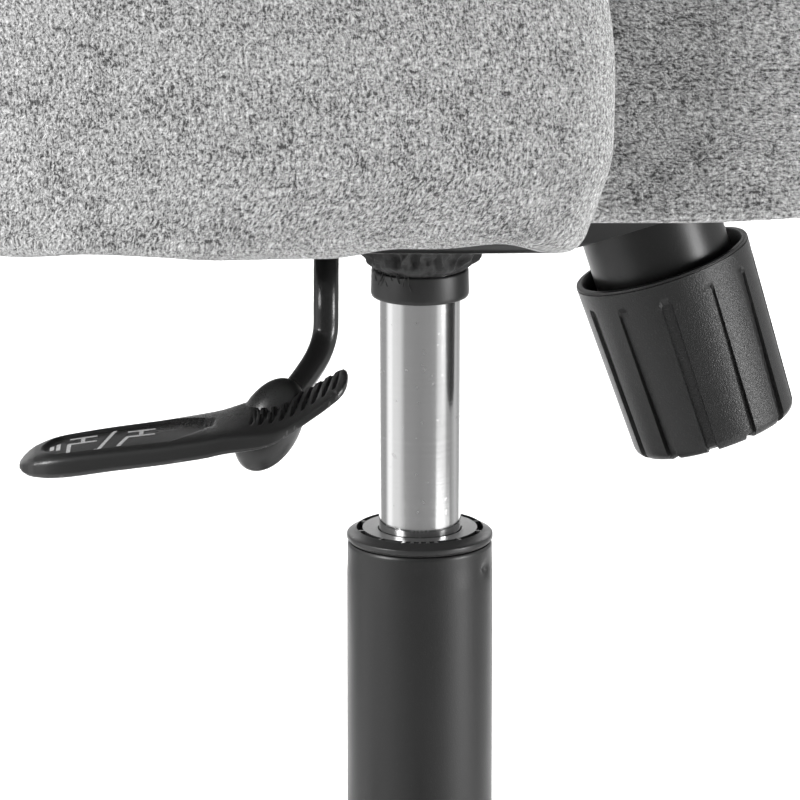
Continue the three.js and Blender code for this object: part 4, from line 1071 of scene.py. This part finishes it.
def make_cushion():
    """The cushion round and over the seat board, with a pocket below for the board."""
    under = seat_outline(0.0225, 0.0)
    rows = [(SEAT_MIDDLE + (under - SEAT_MIDDLE) * share, SEAT_UNDERSIDE)
            for share in (0.02, 0.2, 0.4, 0.6, 0.8, 0.93)]
    board_rows = len(rows)
    rows += [(seat_outline(inset, flare(max(z, SHELL_BOTTOM), 1)), z) for inset, z in SEAT_PROFILE]
    crown = seat_outline(0.0720, flare(SEAT_TOP, 1))
    rows += [(SEAT_MIDDLE + (crown - SEAT_MIDDLE) * share, SEAT_TOP + CROWN * (1 - share ** 2))
             for share in (1, 0.9, 0.8, 0.68, 0.56, 0.44, 0.32, 0.2, 0.1, 0.04)]
    mesh = grid_mesh("cushion", [[(*point, z) for point in outline] for outline, z in rows])
    points = coordinates(mesh)
    low = (1 - smoothstep(0.4430, 0.4600, points[:, 2])) * smoothstep(0.20, 0.24, np.abs(points[:, 0]))
    points[:, 2] += low * (2.2 * MM * (1 - smoothstep(-0.135, -0.080, points[:, 1])) - 1.2 * MM)
    move_to(mesh, points)
    sides = [SIDE_LOW <= z < SIDE_HIGH and row >= board_rows for row, (_, z) in enumerate(rows)]
    add_weave(mesh, cushion_weave(mesh, points, sides))
    cushion = add_piece("cushion", mesh, "seat", "tweed", "seat_cushion")
    z = points[:, 2]
    over_board = smoothstep(0.4550, SEAT_UNDERSIDE, z) * (np.arange(len(z)) < SEAT_STEPS * (board_rows + 1))
    inflate(cushion, np.maximum(1 - smoothstep(0.4435, 0.4560, z), over_board), 3.5 * MM)
    roughen(cushion.data, (0.060, 9.0, 0.6), (0.018, 4.0, 0.2), free=lambda z: smoothstep(0.4425, 0.4460, z))
    padded_out(cushion)
    edge = seat_outline(0.0052, flare(0.533, 1), 360)
    make_welt([Vector((x, y, WELT_Z)) for x, y in edge], 2.6 * MM)


def cushion_weave(mesh, points, sides):
    """Weave coordinates for the cushion's cover: round its side rows, and straight across elsewhere; the
    third value paints paler sheen and bounce light along the lower rim.
    """
    # painted sheen and bounce light: the cushion's lower rim is made paler
    painted_rim_light = 0.6 * (1 - smoothstep(0.441, 0.449, points[:, 2]))
    weave = np.zeros((len(mesh.loops), 3))
    for face in mesh.polygons:
        row = min(face.vertices) // SEAT_STEPS
        columns = [i % SEAT_STEPS for i in face.vertices]
        if max(columns) - min(columns) > SEAT_STEPS / 2:
            columns = [c + SEAT_STEPS if c < SEAT_STEPS / 2 else c for c in columns]
        for loop, i, column in zip(face.loop_indices, face.vertices, columns):
            x, y, z = points[i]
            weave[loop] = (z, column / SEAT_STEPS * SEAT_GIRTH, painted_rim_light[i]) if sides[row] else (y, x, painted_rim_light[i])
    return weave


def make_welt(path, radius):
    """Cloth-covered cord closed on itself."""
    angles = [2 * math.pi * k / 14 for k in range(14)]
    rows, weave, run = [], [], 0.0
    for before, point, after in zip([path[-1], *path], path, [*path[1:], path[0]]):
        along = (after - before).normalized()
        out = along.cross(Vector((0, 0, 1))).normalized()
        up = out.cross(along)
        rows.append([point + out * radius * math.cos(a) + up * radius * math.sin(a) for a in angles])
        # the third value, 0.5, paints the cord a little paler, as painted sheen on a turned edge
        weave += [(run + a * radius, radius * a - run * 0.4, 0.5) for a in angles]
        run += (after - point).length
    mesh = grid_mesh("welt_cushion", rows, wrap_rows=True)
    add_weave(mesh, weave, "POINT")
    welt = add_piece("welt_cushion", mesh, "seat", "tweed")


def make_dust_cover():
    """Thin black cloth stretched under the seat board, with the tilt plate's opening and a row of staples."""
    low, high = COVER_LOW.z + 0.1 * MM, COVER_HIGH.z - 0.2 * MM
    half, front, rear = 0.096, -0.113, 0.107  # the opening
    inset = 0.023
    outer = seat_outline(inset, 0.0, 240)
    middle = np.array([0.0, (front + rear) / 2])
    ways = outer - middle
    hole = middle + ways / np.max(np.abs(ways) / (half, (rear - front) / 2), axis=1)[:, None]
    layers = [hole + (outer - hole) * share for share in np.linspace(0, 1, 26)]

    def level(layer, z):
        return [(x, y, z + 0.2 * MM * noise.noise(Vector((x * 22, y * 22, 1.5)))) for x, y in layer]

    rows = [*[level(layer, low) for layer in layers], *[level(layer, high) for layer in layers[::-1]]]
    mesh = grid_mesh("dust_cloth", rows, wrap_rows=True)
    cover = add_piece("dust_cloth", mesh, "seat", "black_cloth", "dust_cover")
    staples = make_staples(seat_outline(0.030, 0.0, 60))


def make_staples(places):
    wires = []
    for (x, y), way in zip(places, np.roll(places, -1, axis=0) - np.roll(places, 1, axis=0)):
        along = Vector((*way, 0)).normalized() * MM
        at = Vector((x, y, COVER_LOW.z - 0.15 * MM))
        leg = Vector((0, 0, 0.3 * MM))
        path = [at - along * 5 + leg, at - along * 4.6, at + along * 4.6, at + along * 5 + leg]
        wires.append(tube("wire", path, 0.35 * MM, 6))
    return add_piece("staples", joined_mesh("staples", wires), "seat", "zinc_steel")


# ---- base, casters and mechanism

COLUMN_PARTS = [  # node, body, look, edge radius in millimetres
    ("thrust_bearing", "base", "zinc_steel", 0.3),
    ("piston_rod", "spindle", "bright_steel", 0.3),
    ("retaining_clip", "spindle", "spring_steel", 0.15),
    ("rod_bumper", "spindle", "rubber", 0.5),
]
SEAT_PARTS = [
    ("tilt_pivot_pin", "gas_lift", "zinc_steel", 0.4),
    ("valve_button", "valve", "zinc_steel", 0.3),
    ("tilt_lock_plate", "tilt_lock", "zinc_steel", 0.3),
    ("tilt_top_plate", "seat", "black_paint", 0.7),
    ("seat_board", "seat", "plywood", 0.5),
    *[("shell_strap_" + side, "seat", "black_paint", 0.5) for side in ("left", "right", "rear")],
    *[(f"plate_bolt_{i}", "seat", "zinc_steel", 0.3) for i in range(1, 5)],
    ("tension_bolt", "bolt", "zinc_steel", 0.25),
    ("spring_washer", "spring_nut", "zinc_steel", 0.3),
]
WHEEL_INNER, WHEEL_OUTER = 5.3, 24.3  # millimetres along the axle from its middle
BRACKET_FOLD = 4.5 * MM


def refined(node_name, body, look, edge, segments=2, sharp=38, folds=None):
    """Stands a cleaned copy of a CAD node in its place, with its facets merged and its edges rounded."""
    source = bpy.data.objects[node_name]
    mesh = source.data.copy()
    mesh.transform(source.matrix_world)
    mesh.materials.clear()
    solid = bmesh.new()
    solid.from_mesh(mesh)
    bmesh.ops.remove_doubles(solid, verts=solid.verts, dist=0.01 * MM)
    bmesh.ops.dissolve_limit(solid, angle_limit=math.radians(0.5), verts=solid.verts, edges=solid.edges)
    bmesh.ops.recalc_face_normals(solid, faces=solid.faces)
    if folds:
        edges = [line for line in solid.edges if all(folds(vertex.co) for vertex in line.verts)]
        bmesh.ops.bevel(solid, geom=edges, offset=BRACKET_FOLD, segments=6, profile=0.5, affect="EDGES")
    solid.to_mesh(mesh)
    solid.free()
    if edge:
        mesh = bevelled(mesh, edge * MM, segments, sharp)
    else:
        shade(mesh, sharp)
    mesh.name = node_name + "_fine"
    return add_piece(mesh.name, mesh, body, look, node_name)


def make_caster(name):
    refined(name + "_stem", "base", "zinc_steel", 0.4)
    refined(name + "_hood", name, "nylon", 0.7)
    refined(name + "_axle", name + "_wheels", "zinc_steel", 0.3)
    centre = sum(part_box(name + "_axle"), Vector()) / 2
    axis = Vector(JOINTS[name + "_roll"]["axis"]).normalized()
    to_axis = Vector((0, 0, 1)).rotation_difference(axis).to_matrix().to_4x4()
    for label in ("inner", "outer"):
        middle = sum(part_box(f"{name}_{label}_wheel"), Vector()) / 2
        away = 1 if (middle - centre).dot(axis) > 0 else -1
        wheel = turned(f"{name}_{label}", wheel_profile(centre.z), 96)
        wheel.transform(Matrix.Translation(centre) @ to_axis @ Matrix.Scale(away, 4, Vector((0, 0, 1))))
        if away < 0:
            wheel.flip_normals()
        add_piece(f"{name}_{label}", wheel, name + "_wheels", "caster_tread", f"{name}_{label}_wheel")


def wheel_profile(radius):
    """A dished caster wheel: axle bore, hub, sunk web, rounded tread."""
    inner, outer = WHEEL_INNER * MM, WHEEL_OUTER * MM
    return soft_corners(
        [*beside(0, inner, (4.2, 0)), *beside(radius, inner, (-2.5, 0), (-0.6, 1.5), (0, 5)),
         *beside(radius, outer, (0, -6.5), (-1.2, -2), (-4.5, 0), (-6, -0.6), (-7.4, -2.4)),
         *beside(0, outer, (11, -2.9), (8.5, -1.2), (6.5, -0.4), (4.2, -0.4))], 1.0 * MM, steps=3)


def make_mechanism():
    refined("five_star_base", "base", "nylon", 1.2, 3)
    for row in COLUMN_PARTS:
        refined(*row)
    for i in CASTERS:
        make_caster(f"caster_{i}")
    refined("tilt_base_bracket", "gas_lift", "black_paint", 0.5,
            folds=lambda p: abs(abs(p.x) - BRACKET_SIDE) < 0.1 * MM and p.z < COLLAR_Z + 28.1 * MM)
    for row in SEAT_PARTS:
        refined(*row)
    refined("tension_spring", "spring_nut", "spring_steel", 0, sharp=60)


# ---- the whole

make_camera()
make_world()
make_lights()
make_floor()
make_column()
make_knob()
make_lever()
make_boot()
make_shell()
make_cushion()
make_dust_cover()
make_mechanism()

bpy.context.scene.view_settings.view_transform = "Standard"
